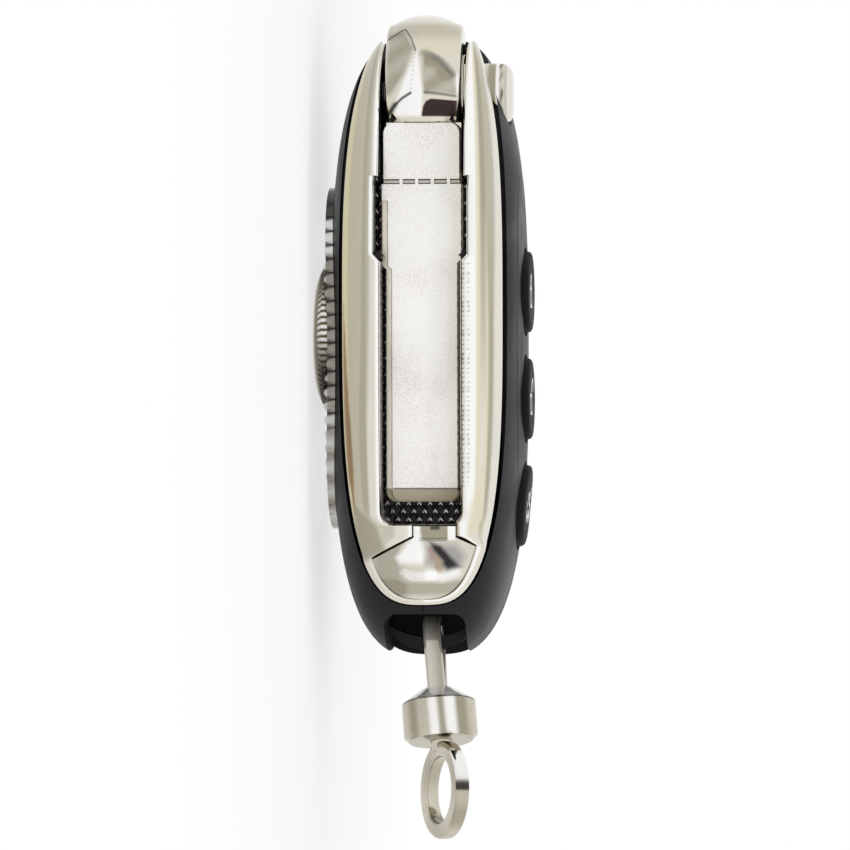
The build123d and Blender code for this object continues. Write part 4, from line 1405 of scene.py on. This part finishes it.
    def build_blade(self) -> None:
        """The blade: a section in Y and Z carried along X.

        The front is the face's Y plus the rebate, the edge bevel, the groove's dashes and the tip's
        bevel, each a depth that depends on the distance from its edge.
        """
        x = self.blade_stations()
        root, root_end = self.root_x
        low, high = self.blade_halves(x)
        gaps, half_bridge = np.array(self.dash_gaps), self.dash_bridge / 2
        reach = (half_bridge, half_bridge + 0.03)
        marks = np.concatenate([gaps + side * off for side in (-1, 1) for off in reach])
        inside = marks[(marks > -3.35) & (marks < 3.7)]
        middle = np.unique(np.concatenate([inside, np.linspace(-3.3, 3.6, 24)]))
        from_low = np.array([0, 0.03, 0.09, 0.18, 0.66, 0.72, 0.75, 0.80])
        from_high = np.array([0.5, 0.34, 0.3, 0.2, 0.09, 0.03, 0])
        z = np.concatenate([
            -low[:, None] + from_low,
            np.clip(middle[None, :], -low[:, None] + 0.82, high[:, None] - 0.52),
            high[:, None] - from_high,
        ], 1)
        dist_low, dist_high = z + low[:, None], high[:, None] - z
        start, width, deep = self.rebate
        in_rebate = (x[:, None] > start + 0.02) & (low[:, None] < 4.9)
        rebate = deep * np.clip((width - dist_low) / 0.08, 0, 1) * in_rebate
        bevel = np.clip(self.edge_bevel - dist_high, 0, None) * 0.7
        in_groove = (x > root_end + 0.01) & (x < root_end + self.groove_width - 0.01)
        bridge = np.min(np.abs(z[..., None] - gaps), axis=-1) < half_bridge + 0.01
        dash = in_groove[:, None] * ~bridge
        length, depth = self.tip_bevel
        tip = depth * ramp(x, self.tip_x - length, length)[:, None]
        soft = self.edge_round
        end_round = quarter_drop(np.minimum(x - root, self.tip_x - x), soft)[:, None]
        front = self.blade_y[0] + np.maximum(rebate, bevel) + self.groove_depth * dash + tip
        front = front + quarter_drop(dist_low, soft) + quarter_drop(dist_high, soft) * 0.5
        front = front + end_round
        keep = [z.shape[1] - 1, z.shape[1] // 2, 0]
        back = np.broadcast_to(self.blade_y[1] - end_round, (len(x), len(keep)))
        y, z = np.concatenate([front, back], 1), np.concatenate([z, z[:, keep]], 1)
        grid = np.stack([np.broadcast_to(x[:, None], z.shape), y, MID_Z + z], -1)
        points, faces = carried(grid)
        masks = self.blade_light_and_shade_paint(x[:, None], dist_low, dist_high, np.clip(tip / 0.2, 0, 1), dash)
        masks = for_points(masks, len(keep))
        bare = np.full((len(x), len(keep)), self.metal(0.0))
        metal = np.concatenate([self.metal(np.clip(tip / 0.2, 0, 1)) + 0 * dist_low, bare], 1)
        masks["metal"] = metal.reshape(-1)
        make_piece("folded_blade", points, faces, SATIN_STEEL, "blade", ("key_blade",), 30.0, masks)

    def metal(self, cut: float | np.ndarray) -> float | np.ndarray:
        """Metallic share of the blade, less on the tip's bevel, which faces the dark slot."""
        return SATIN_STEEL.metallic - 0.65 * cut

    def blade_light_and_shade_paint(
        self, x: np.ndarray, dist_low: np.ndarray, dist_high: np.ndarray, cut: np.ndarray,
        dash: np.ndarray,
    ) -> Masks:
        """Masks that paint light and shade on the blade: its ledge, its groove's dashes and the
        tip's bevel.

        Args:
            x: place along the blade.
            dist_low: distance from the edge on the rear's side.
            dist_high: distance from the edge on the buttons' side.
            cut: 1 on the tip's bevel.
            dash: 1 in the groove's dashes.

        Returns:
            Values on the blade's front, for each wash.
        """
        ledge = (x > self.rebate[0] + 0.02) & (x < self.tip_x - 1.0)
        groove_middle = self.root_x[1] + self.groove_width / 2
        brink = dash * (np.abs(x - groove_middle) > 0.15)
        bevel_line = bump_at(x, self.tip_x - self.tip_bevel[0], 0.03, 0.05) * (dist_low > 0.8)
        # A painted highlight and a painted dark line run along the bevelled edge on the buttons'
        # side.
        edge_highlight_paint = 0.25 * bump_at(dist_high, 0.6, 0.5, 0.6)
        edge_shade_line = 0.35 * bump_at(dist_high, 0.14, 0.06, 0.1)
        # Painted shade darkens the groove's dashes and their brinks, the line at the ledge's wall
        # and the buttons' side. The tip's bevel is painted cream and olive for the light it
        # catches, with a painted dark line where it starts.
        return {
            "cream": 0.5 * bump_at(dist_low, 0.35, 0.3, 0.1) * ledge + edge_highlight_paint + 0.8 * cut,
            "brown": 0.9 * bump_at(dist_low, 0.735, 0.035, 0.03) * ledge + edge_shade_line + 0.8 * brink,
            "olive": 0.20 * cut + 0.55 * dash + 0.12 * bump_at(dist_high, 0.8, 1.2, 2.4),
            "dark": 0.5 * brink + 0.85 * bevel_line,
        }

    def build_release(self) -> None:
        """The release button: a closed section with a domed top, turned about the pivot's axis."""
        r, top, flange = self.release_radius, self.release_top, self.release_flange
        profile = rounded_profile([
            (1.75, 3.4, 0), (flange, 3.4, 0), (flange, 4.6, 0.1), (r, 4.6, 0),
            (r, top, self.release_dome), (0.0, top, 0), (0.0, 6.4, 0), (1.75, 6.4, 0),
        ], 16)
        points, faces = lathe(finely(profile, 0.12), 144)
        rise, turn = points[:, 2], np.arctan2(points[:, 1], points[:, 0])
        # The masks paint the button's reflections: an olive band, a broken dark ring and pale
        # painted highlights.
        mottle = 0.5 + 0.5 * np.sin(7 * turn + 2.0 * rise) * np.sin(3.3 * turn + 1.0)
        ring = bump_at(rise + 0.08 * np.sin(9 * turn), 8.95, 0.10, 0.16) * mottle
        masks = {
            "olive": 0.75 * bump_at(rise, 8.0, 0.45, 0.3) + 0.30,
            "dark": 0.9 * ring + 0.25 * bump_at(rise, 9.45, 0.04, 0.1),
            "pale": 0.9 * bump_at(rise, 8.50, 0.12, 0.14) + 0.35 * bump_at(rise, 10.0, 0.3, 0.3),
        }
        make_piece("release_cap", points + np.array([*self.pivot, MID_Z]), faces, CHROME, "release",
                   ("release_button",), 38.0, masks)


class Mark(Enum):
    """The plain signs printed on the buttons."""

    CLOSED = "closed padlock"
    OPEN = "open padlock"
    LID = "raised lid"


@dataclass(frozen=True)
class Key:
    """One push button: its solid's name, its moving body, its place along X and its sign."""

    name: str
    body: str
    place: float
    mark: Mark


def part_circle(radius: float, ends: Point, centre: Point) -> np.ndarray:
    """Points on a part of a circle.

    Args:
        radius: the circle's radius.
        ends: the angles where the part starts and ends, in degrees.
        centre: the circle's middle.

    Returns:
        Rows of two measures.
    """
    turn = np.radians(np.linspace(*ends, 24))
    return np.stack([centre[0] + radius * np.cos(turn), centre[1] + radius * np.sin(turn)], 1)


@dataclass
class Buttons:
    """Three oval push buttons with a printed sign on each."""

    keys: tuple[Key, ...] = (
        Key("upper_button", "upper_key", -5.8, Mark.CLOSED),
        Key("middle_button", "middle_key", 6.9, Mark.OPEN),
        Key("lower_button", "lower_key", 19.6, Mark.LID),
    )
    half_length: float = 4.85
    half_width: float = 7.2
    proud: float = 0.75
    edge: float = 0.55
    dish: float = 0.18
    flange_width: float = 0.7
    flange_low: float = 20.9
    flange_top: float = 21.7
    line_width: float = 0.42
    print_height: tuple[float, float] = (0.035, -0.05)

    def build_cap(self, key: Key) -> None:
        """One button: rings of an oval on the grown envelope, with a rounded shoulder.

        A ring at share t has half axes t a and t b. Its height is the envelope's, less the edge's
        drop and the dish's, which is in proportion to (1 - t^2)^2.

        Args:
            key: which button.
        """
        turn = np.linspace(0, 2 * np.pi, 120, endpoint=False)[:, None]
        rim = self.edge / self.half_length
        shoulder = 1 - rim * np.cos(np.linspace(0, np.pi / 2, 8))[1:]
        share = np.concatenate([np.linspace(0, 1 - rim, 14), shoulder])[None, :]
        x = key.place + self.half_length * share * np.cos(turn)
        y = self.half_width * share * np.sin(turn)
        z = PEBBLE.face_z(x, y, self.proud, True)
        z = z - quarter_drop((1 - share) * self.half_length, self.edge)
        z = z - self.dish * (1 - share**2) ** 2
        wide, long = self.half_width + self.flange_width, self.half_length + self.flange_width
        skirt = [
            np.stack([key.place + a * np.cos(turn), b * np.sin(turn), level + 0 * turn], -1)
            for a, b, level in ((self.half_length, self.half_width, self.flange_top),
                                (long, wide, self.flange_top), (long, wide, self.flange_low),
                                (0.0, 0.0, self.flange_low))
        ]
        points, faces = carried(np.concatenate([np.stack([x, y, z], -1), *skirt], 1), loop=True)
        make_piece(key.name + "_cap", points, faces, KEYCAP, key.body, (key.name,))

    def strokes(self, mark: Mark) -> list[np.ndarray]:
        """Centre lines of one sign.

        Args:
            mark: which sign.

        Returns:
            Lines with rows of (towards the head, across), in millimetres from the button's middle.
        """
        if mark is Mark.LID:
            side = [(-1.3, -2.9), (-1.3, 2.9), (0.0, 2.9), (0.3, 1.3), (1.4, 0.7), (1.4, -0.9),
                    (0.3, -1.6), (0.2, -2.9), (-1.3, -2.9)]
            wheels = [part_circle(0.55, (0, 360), (-1.3, across)) for across in (-1.6, 1.6)]
            return [np.array(side), np.array([(0.5, 1.5), (2.0, 2.9)]), *wheels]
        box = np.array([(-1.7, -1.6), (-1.7, 1.6), (0.4, 1.6), (0.4, -1.6), (-1.7, -1.6)])
        start, centre, end = (0.4, 1.0), (1.3, 2.0), (0.9, 3.0)
        if mark is Mark.CLOSED:
            start, centre, end = (0.4, -1.0), (1.0, 0.0), (0.4, 1.0)
        return [box, np.concatenate([[start], part_circle(1.0, (-90, 90), centre), [end]])]

    def build_mark(self, key: Key) -> None:
        """The sign: each centre line widened to a strip, laid just over the button's top.

        A strip's two edges are its centre line plus and minus half its width times its normal.

        Args:
            key: which button.
        """
        all_points, all_faces, start = [], [], 0
        for line in self.strokes(key.mark):
            pieces = [np.linspace(a, b, 6, endpoint=False) for a, b in zip(line[:-1], line[1:])]
            dense = np.concatenate([*pieces, line[-1:]])
            step = np.gradient(dense, axis=0)
            side = np.stack([-step[:, 1], step[:, 0]], 1)
            length = np.maximum(np.linalg.norm(side, axis=1, keepdims=True), 1e-9)
            side = side / length * self.line_width / 2
            edges = np.stack([dense + side, dense - side], 1)
            x, y = key.place - edges[..., 0], edges[..., 1]
            share = np.hypot((x - key.place) / self.half_length, y / self.half_width)
            z = PEBBLE.face_z(x, y, self.proud, True)
            z = z - self.dish * (1 - np.clip(share, 0, 1) ** 2) ** 2
            upper, lower = (np.stack([x, y, z + lift], -1) for lift in self.print_height)
            points, faces = carried(np.concatenate([upper, lower[:, ::-1]], 1))
            all_points.append(points)
            all_faces.extend([[v + start for v in face] for face in faces])
            start += len(points)
        make_piece(key.name + "_mark", np.concatenate(all_points), all_faces, PRINT, key.body)

    def build(self) -> None:
        """All three buttons with their signs."""
        for key in self.keys:
            self.build_cap(key)
            self.build_mark(key)


@dataclass
class RearOrnament:
    """The reeded plate on the rear and the plain domed oval in its middle."""

    plate_x: float = 2.0
    plate_length: float = 20.3
    plate_width: float = 12.0
    plate_power: float = 2.2
    plate_thickness: float = 0.85
    sunk: float = 0.03
    rib_pitch: float = 1.65
    rib_depth: float = 0.35
    cast_x: float = 9.5
    cast_depth: float = 0.35
    cast_waves: int = 14
    cast_seed: int = 11
    dome_x: float = -0.5
    dome_length: float = 8.7
    dome_width: float = 10.4
    dome_flat: float = 0.66
    dome_back_z: float = 2.0
    rim_z: float = 1.15
    mill_start: float = 0.90
    mill_count: int = 72
    mill_depth: float = 0.22

    def build(self) -> None:
        """The plate and the oval."""
        self.build_plate()
        self.build_dome()

    def cast_skin(self, x: np.ndarray, y: np.ndarray) -> np.ndarray:
        """An uneven cast skin: the mean of seeded sine waves in all directions.

        Args:
            x: place along the body.
            y: place across it.

        Returns:
            A value between -1 and 1 for each point.
        """
        rng = np.random.default_rng(self.cast_seed)
        skin = np.zeros_like(x)
        for _ in range(self.cast_waves):
            fx, fy, shift = rng.uniform(1.2, 5.0), rng.uniform(1.0, 4.0), rng.uniform(0, 6.28)
            skin = skin + np.sin(fx * x + fy * y + shift) / self.cast_waves
        return skin

    def build_plate(self) -> None:
        """The plate: rows across an oval, lowered between ribs by a raised cosine of x.

        The tail part carries the cast skin instead of most of the ribs.
        """
        edge = np.sin(np.linspace(-np.pi / 2, np.pi / 2, 420))
        across = np.sin(np.linspace(-np.pi / 2, np.pi / 2, 61))
        reach = self.plate_length * edge * 0.9995
        narrowing = 1 - np.abs(reach / self.plate_length) ** self.plate_power
        half = self.plate_width * narrowing ** (1 / self.plate_power)
        x = np.broadcast_to((self.plate_x + reach)[:, None], (len(edge), len(across)))
        y = half[:, None] * across[None, :]
        comb = np.cos(2 * np.pi * (x - self.plate_x) / self.rib_pitch)
        valley = np.clip(comb * 1.6, -1, 1) * 0.5 + 0.5
        skin = self.cast_skin(x, y)
        cast = ramp(x, self.cast_x, 2.0)
        border = np.clip((1 - np.abs(across))[None, :] * 10, 0, 1)
        relief = self.rib_depth * valley * (1 - 0.5 * cast) + self.cast_depth * np.abs(skin) * cast
        z = PEBBLE.face_z(x, y, self.plate_thickness, False) + relief * border
        lower = np.stack([x, y, z], -1)
        upper = np.stack([x, y, PEBBLE.face_z(x, y, self.sunk, False)], -1)[:, ::-1]
        points, faces = carried(np.concatenate([lower, upper], 1))
        # Painted shade fills the valleys between the ribs and the cast skin's hollows, and the
        # plate is darker towards the head end. A pale painted highlight lies on a block and as
        # glints towards the tail.
        line = np.clip(comb * 5 - 3.6, 0, 1) * (1 - cast)
        end = 0.85 * np.clip((-13.8 - x) / 1.2, 0, 1)
        valley_shade = np.clip(valley * 1.5 - 0.55, 0, 1) * (1 - cast)
        valley_shade = valley_shade + np.clip(np.abs(skin) * 5 - 0.6, 0, 1) * cast
        glint = 0.35 * (0.5 + 0.5 * np.sin(2.2 * x)) * ramp(x, 6.0, 3.0)
        block = 0.55 * bump_at(x, -12.2, 1.8, 0.6) + glint
        dark = np.concatenate([0.93 * np.clip(face + end, 0, 1) for face in (valley_shade, line)], 1)
        masks = for_points({"dark": dark, "pale": np.concatenate([block, block], 1)})
        make_piece("reeded_plate", points, faces, PLATE, "case", ("grip_plate",), 50.0, masks)

    def build_dome(self) -> None:
        """The oval: rings from the flat crest to the rim, with a milled edge.

        The edge's height gets a cosine of the turn times how near the ring is to the rim.
        """
        turn = np.linspace(0, 2 * np.pi, self.mill_count * 8, endpoint=False)[:, None]
        flat, start = self.dome_flat, self.mill_start
        share = np.concatenate([np.linspace(0, flat, 8), np.linspace(flat, 1, 26)[1:]])[None, :]
        x = self.dome_x + self.dome_length * share * np.cos(turn)
        y = self.dome_width * share * np.sin(turn)
        twist = self.mill_count * turn + 9.0 * share
        band = ramp(share, start, 0.04) * np.clip((1.0 - share) / 0.02, 0, 1)
        z = self.rim_z * ramp(share, flat, 1 - flat) ** 2.2
        z = z + self.mill_depth * band * (0.5 + 0.5 * np.cos(twist))
        rings = np.stack([x, y, z], -1)
        wall = PEBBLE.face_z(x[:, -1], y[:, -1], self.sunk, False)
        back = np.stack([x[:, -1], y[:, -1], wall], -1)[:, None]
        close = np.broadcast_to(np.array([self.dome_x, 0.0, self.dome_back_z]), back.shape)
        points, faces = carried(np.concatenate([rings, back, close], 1), loop=True)
        # Painted shade darkens the milled edge outside its middle, the gaps between its teeth and a
        # line just inside it. In the middle the teeth get painted highlights.
        milled = ramp(share, start, 0.03)
        middle = np.clip(1.4 - np.abs(x - self.dome_x + 1.5) / 4.2, 0, 1)
        gaps = np.clip(-np.cos(twist) * 1.6 - 0.9, 0, 1)
        dark = milled * np.clip(0.9 - 0.75 * middle + gaps, 0, 0.93)
        masks = {
            "pale": milled * np.clip(np.cos(twist) * 0.8 + 0.45, 0, 1) * middle,
            "dark": dark + 0.6 * bump_at(share, 0.885, 0.015, 0.02),
        }
        masks = {name: np.concatenate([mask, mask[:, -1:]], 1) for name, mask in masks.items()}
        make_piece(
            "domed_oval", points, faces, DOME, "case", ("medallion",), 60.0, for_points(masks, 1))


@dataclass
class Swivel:
    """The loop round the tail bar, its collar and drum, and the key ring eye."""

    bail_x: float = 36.1
    bail_inner: float = 2.35
    bail_thickness: float = 1.3
    bail_width: float = 2.1
    bail_round: float = 0.4
    tip_x: float = 42.7
    tip_inner: float = 0.7
    collar_x: float = 41.5
    collar_radius: float = 1.7
    drum_x: tuple[float, float] = (43.3, 47.9)
    drum_radius: float = 4.4
    drum_bore: float = 1.3
    chamfer: float = 0.6
    eye_x: float = 53.85
    eye_outer: float = 5.8
    eye_inner: float = 3.9
    eye_width: float = 1.8
    eye_tilt: float = -27.0
    shank: tuple[float, float] = (1.25, 1.05)
    lean: float = -16.0
    rise: float = -5.0
    shift: float = 0.4

    def placed(self, points: np.ndarray) -> np.ndarray:
        """Leans points that were laid out along X: a turn about Z, one about Y, and a shift.

        Args:
            points: rows of millimetres, laid out along X.

        Returns:
            The points where the swivel rests.
        """
        a, b = math.radians(self.lean), math.radians(self.rise)
        x, y, z = points[:, 0] - self.bail_x, points[:, 1], points[:, 2] - MID_Z
        x, y = x * math.cos(a) - y * math.sin(a), x * math.sin(a) + y * math.cos(a)
        x, z = x * math.cos(b) + z * math.sin(b), -x * math.sin(b) + z * math.cos(b)
        return np.stack([x + self.bail_x, y, z + MID_Z + self.shift], 1)

    def turned(self, profile: np.ndarray, steps: int) -> tuple[np.ndarray, Faces]:
        """A profile turned about the swivel's axis, still laid out along X.

        Args:
            profile: rows of radius and x.
            steps: stations in the turn.

        Returns:
            Points and faces.
        """
        points, faces = lathe(profile, steps)
        return along_x(points) + np.array([0, 0, MID_Z]), faces

    def build_bail(self) -> None:
        """The loop: a rounded bar carried round a half circle and on along two straight tapers."""
        t, w = self.bail_thickness / 2, self.bail_width / 2
        r = self.bail_inner + t
        turn = np.linspace(np.pi / 2, 3 * np.pi / 2, 41)
        arc = np.stack([self.bail_x + r * np.cos(turn), r * np.sin(turn)], 1)
        run = np.linspace(0, 1, 12)[:-1, None]
        tip, bend = np.array([self.tip_x, self.tip_inner + t]), np.array([self.bail_x + 0.5, r])
        leg = tip * (1 - run) + bend * run
        path = np.concatenate([leg, arc, leg[::-1] * np.array([1, -1])])
        step = np.gradient(path, axis=0)
        step = step / np.linalg.norm(step, axis=1, keepdims=True)
        side = np.stack([-step[:, 1], step[:, 0]], 1)
        corners = ((-t, -w), (t, -w), (t, w), (-t, w))
        section = rounded_profile([(u, v, self.bail_round) for u, v in corners])
        flat = path[:, None] + side[:, None] * section[None, :, :1]
        rise = np.broadcast_to(MID_Z + section[None, :, 1:], flat.shape[:2] + (1,))
        made, faces = carried(np.concatenate([flat, rise], -1))
        across = (made[:, 2] - MID_Z) / w
        # A painted highlight on one side of the loop and painted olive shade on the other.
        masks = {"pale": 0.8 * bump_at(across, -0.25, 0.2, 0.25),
                 "olive": 0.6 * bump_at(across, 0.55, 0.2, 0.25) + 0.15}
        made = self.placed(made)
        make_piece("swivel_loop", made, faces, PALER_LIT_NICKEL, "bail", ("swivel_bail",), 50.0, masks)

    def turned_reflection_paint(self, made: np.ndarray) -> Masks:
        """Painted reflections as soft streaks along a turned piece, by how far across the drum each
        point stands.

        Args:
            made: points laid out along X, before the swivel leans.

        Returns:
            A value for each point, for each wash.
        """
        across = (made[:, 2] - MID_Z) / self.drum_radius + 0.02 * np.sin(9 * made[:, 0])
        pale = 0.9 * bump_at(across, -0.10, 0.07, 0.10) + 0.85 * bump_at(across, 0.36, 0.09, 0.10)
        olive = 0.75 * bump_at(across, -0.66, 0.05, 0.12) + 0.7 * bump_at(across, 0.11, 0.06, 0.09)
        olive = olive + 0.8 * bump_at(across, 0.64, 0.08, 0.14) + 0.18
        return {"pale": pale, "olive": np.clip(olive, 0, 1)}

    def build_collar(self) -> None:
        """The collar on the drum's top, a cone up to the loop's legs."""
        start, radius = self.drum_x[0], self.drum_radius
        made, faces = self.turned(rounded_profile([
            (0.0, self.collar_x + 0.5, 0), (1.0, self.collar_x - 0.2, 0),
            (self.collar_radius, self.collar_x, 0.3), (radius - 0.5, start - 0.35, 0.6),
            (radius - 0.04, start + 0.02, 0), (0.0, start + 0.02, 0),
        ], 8), 120)
        masks = self.turned_reflection_paint(made)
        # The collar is painted paler all over, against the dark recess that it mirrors.
        masks["pale"] = np.clip(masks["pale"] + 0.65, 0, 1)
        make_piece("swivel_collar", self.placed(made), faces, PALER_LIT_NICKEL, "bail", (), 38.0, masks)

    def build_drum(self) -> None:
        """The drum, with a chamfered foot that the eye's shank comes out of."""
        (start, end), radius, bore = self.drum_x, self.drum_radius, self.drum_bore
        made, faces = self.turned(rounded_profile([
            (0.0, start + 0.05, 0), (radius, start + 0.05, 0.25),
            (radius, end - self.chamfer, 0.15), (radius - self.chamfer, end, 0.15),
            (bore, end, 0), (bore, end - 1.0, 0), (0.0, end - 1.0, 0),
        ]), 160)
        masks = self.turned_reflection_paint(made)
        foot = made[:, 0] > end - 0.02
        inside = np.hypot(made[:, 1], made[:, 2] - MID_Z) < bore + 0.1
        # The drum's foot is painted olive shade and its bore painted dark shade.
        masks = {"pale": masks["pale"] * ~foot, "olive": np.where(foot, 0.7, masks["olive"]),
                 "dark": 0.9 * ((made[:, 0] < end - 0.05) & inside)}
        made = self.placed(made)
        make_piece("swivel_barrel", made, faces, NICKEL, "bail", ("swivel_drum",), 30.0, masks)

    def build_eye(self) -> None:
        """The eye: a rounded flat bar carried round a circle and tilted about the swivel's axis."""
        outer, inner, w = self.eye_outer, self.eye_inner, self.eye_width / 2
        section = rounded_profile(
            [(inner, -w, 0.35), (outer, -w, 0.5), (outer, w, 0.5), (inner, w, 0.35)], 7)
        points, faces = lathe(section, 120)
        turn, reach = np.arctan2(points[:, 1], points[:, 0]), np.hypot(points[:, 0], points[:, 1])
        # Painted reflections on the eye's rim, with painted shade in its bore.
        rim = reach > outer - 0.3
        bore = (reach < inner + 0.2) * bump_at(turn, 0.55, 0.2, 0.3)
        foot = 0.8 * bump_at(turn, -0.75, 0.12, 0.3) * rim
        olive = 0.3 + 0.3 * np.sin(3 * turn + 0.5) + foot + 0.7 * bore
        masks = {"dark": 0.92 * bump_at(turn, -1.43, 0.08, 0.03) * rim + 0.35 * bore,
                 "olive": np.clip(olive, 0, 1), "pale": 0.8 * bump_at(turn, -1.9, 0.25, 0.25) * rim}
        tilt = math.radians(self.eye_tilt)
        y = points[:, 1] * math.cos(tilt) - points[:, 2] * math.sin(tilt)
        z = points[:, 1] * math.sin(tilt) + points[:, 2] * math.cos(tilt)
        ring = self.placed(np.stack([points[:, 0] + self.eye_x, y, z + MID_Z], 1))
        make_piece("key_ring_eye", ring, faces, NICKEL, "eye", ("swivel_eye",), 50.0, masks)

    def build_shank(self) -> None:
        """The eye's waisted shank, from inside the drum into the ring."""
        end, root = self.drum_x[1], self.eye_x - self.eye_inner - 0.8
        thick, thin = self.shank
        made, faces = self.turned(rounded_profile([
            (0.0, end - 0.9, 0), (thick, end - 0.9, 0), (thick, end + 0.1, 0.3), (thin, root, 0),
            (0.0, root, 0),
        ], 5), 48)
        make_piece("eye_shank", self.placed(made), faces, NICKEL, "eye")

    def build(self) -> None:
        """The whole swivel."""
        self.build_bail()
        self.build_collar()
        self.build_drum()
        self.build_eye()
        self.build_shank()


@dataclass
class FrameSolids:
    """The frame's solids that stay as they are, in view or inside, and their finishes."""

    finishes: dict[str, Finish] = field(default_factory=lambda: {
        "front_shell": SHELL, "rear_shell": SHELL, "blade_roll_pin": INNER_STEEL,
        "pivot_axle": INNER_STEEL, "head_spring": INNER_STEEL, "circuit_board": BOARD,
        "tactile_switches": INNER_STEEL, "coin_cell": INNER_STEEL, "cell_clip": INNER_STEEL,
        "cell_contact": INNER_STEEL, "radio_chip": CHIP, "shell_screws": INNER_STEEL,
    })

    def build(self) -> None:
        """Gives each solid its finish."""
        for node, finish in self.finishes.items():
            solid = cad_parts[node]
            for place in solid.material_slots:
                place.material = finish.material()
            log.info("%s: dressed as %s", node, finish.label)


# Studio

@dataclass(frozen=True)
class Lamp:
    """One square soft lamp, in metres and watts, that the metal doesn't mirror."""

    name: str
    place: tuple[float, float, float]
    aim: tuple[float, float, float]
    size: float
    watts: float

    def build(self) -> None:
        """Hangs the lamp and points it."""
        data = bpy.data.lights.new(self.name, "AREA")
        data.shape, data.size, data.energy = "SQUARE", self.size, self.watts
        lamp = bpy.data.objects.new(self.name, data)
        bpy.context.scene.collection.objects.link(lamp)
        lamp.visible_glossy = False
        lamp.location = self.place
        way = Vector(self.aim) - Vector(self.place)
        lamp.rotation_euler = way.to_track_quat("-Z", "Y").to_euler()


@dataclass
class Studio:
    """Camera, lamps, floor and background, in metres."""

    target: tuple[float, float, float] = (0.0100, -0.008, 0.01326)
    distance: float = 0.70
    turn_deg: float = 0.15
    rise_deg: float = 3.95
    roll_deg: float = -0.13
    field_deg: float = 8.17
    sensor: float = 36.0
    clip: tuple[float, float] = (0.01, 20.0)
    floor_half: float = 3.0
    floor_colour: float = 0.93
    glow: float = 0.70
    fade: tuple[float, float] = (0.06, 0.16)
    world_fill: float = 0.62
    lamps: tuple[Lamp, ...] = (
        Lamp("key_lamp", (-0.35, -0.55, 0.65), (0.0, 0.0, 0.013), 1.10, 3.2),
        Lamp("fill_lamp", (0.45, -0.60, 0.40), (0.01, 0.0, 0.013), 0.90, 1.5),
    )

    def camera(self) -> None:
        """The camera looks along +Y at the slot side, rolled so that the pivot head is up."""
        data = bpy.data.cameras.new("camera")
        data.sensor_width = self.sensor
        data.lens = self.sensor / 2 / math.tan(math.radians(self.field_deg / 2))
        data.clip_start, data.clip_end = self.clip
        seat = bpy.data.objects.new("camera", data)
        bpy.context.scene.collection.objects.link(seat)
        turn, rise = math.radians(self.turn_deg), math.radians(self.rise_deg)
        level = math.cos(rise)
        back = Vector((math.sin(turn) * level, -math.cos(turn) * level, math.sin(rise)))
        up = Vector((-1, 0, 0))
        up = (up - back * up.dot(back)).normalized()
        up = Matrix.Rotation(math.radians(self.roll_deg), 3, back) @ up
        right = up.cross(back)
        turned = Matrix((right, up, back)).transposed().to_4x4()
        seat.matrix_world = Matrix.Translation(Vector(self.target) + back * self.distance) @ turned
        bpy.context.scene.camera = seat

    def seen(self, web: Web) -> Socket:
        """Tells which rays get the white background.

        Args:
            web: the nodes of the floor or the world.

        Returns:
            1 for rays from the camera, and for mirrored and transmitted ones, else 0.
        """
        path = web.add("LightPath").outputs
        first = web.maths("MAXIMUM", path["Is Camera Ray"], path["Is Glossy Ray"])
        return web.maths("MAXIMUM", first, path["Is Transmission Ray"])

    def floor(self) -> None:
        """A pale floor under the rear oval, which glows where it is seen so that it stays pale."""
        h = self.floor_half
        mesh = bpy.data.meshes.new("floor")
        mesh.from_pydata([(-h, -h, 0), (h, -h, 0), (h, h, 0), (-h, h, 0)], [], [(0, 1, 2, 3)])
        plane = bpy.data.objects.new("floor", mesh)
        bpy.context.scene.collection.objects.link(plane)
        paint = bpy.data.materials.new("floor_paper")
        paint.use_nodes = True
        nodes, web = paint.node_tree.nodes, Web(paint.node_tree)
        nodes.remove(nodes["Principled BSDF"])
        matt, glow, mix = web.add("BsdfDiffuse"), web.add("Emission"), web.add("MixShader")
        matt.inputs["Color"].default_value = (*[self.floor_colour] * 3, 1)
        far = web.add("VectorMath")
        far.operation = "LENGTH"
        web.join(web.add("TexCoord").outputs["Object"], far.inputs[0])
        share = web.spread(far.outputs["Value"], self.fade, (self.glow, 1.0))
        web.join(web.maths("MULTIPLY", self.seen(web), share), mix.inputs[0])
        web.join(matt.outputs[0], mix.inputs[1])
        web.join(glow.outputs[0], mix.inputs[2])
        web.join(mix.outputs[0], nodes["Material Output"].inputs["Surface"])
        mesh.materials.append(paint)

    def world(self) -> None:
        """White where it is seen, and a softer white as fill light."""
        world = bpy.data.worlds.new("studio")
        bpy.context.scene.world = world
        world.use_nodes = True
        web = Web(world.node_tree)
        back = world.node_tree.nodes["Background"]
        back.inputs["Color"].default_value = (1, 1, 1, 1)
        level = web.spread(self.seen(web), (0.0, 1.0), (self.world_fill, 1.0))
        web.join(level, back.inputs["Strength"])

    def build(self) -> None:
        """Everything but the object."""
        bpy.context.scene.view_settings.view_transform = "Standard"
        self.camera()
        self.floor()
        self.world()
        for lamp in self.lamps:
            lamp.build()


def main() -> None:
    """Builds the studio and each sub-assembly in order."""
    logging.basicConfig(level=logging.INFO, format="%(name)s: %(message)s")
    order = (Studio, SideFrame, PivotHead, Buttons, RearOrnament, Swivel, FrameSolids)
    for assembly in order:
        log.info("building %s", assembly.__name__)
        assembly().build()


if __name__ == "__main__":
    main()
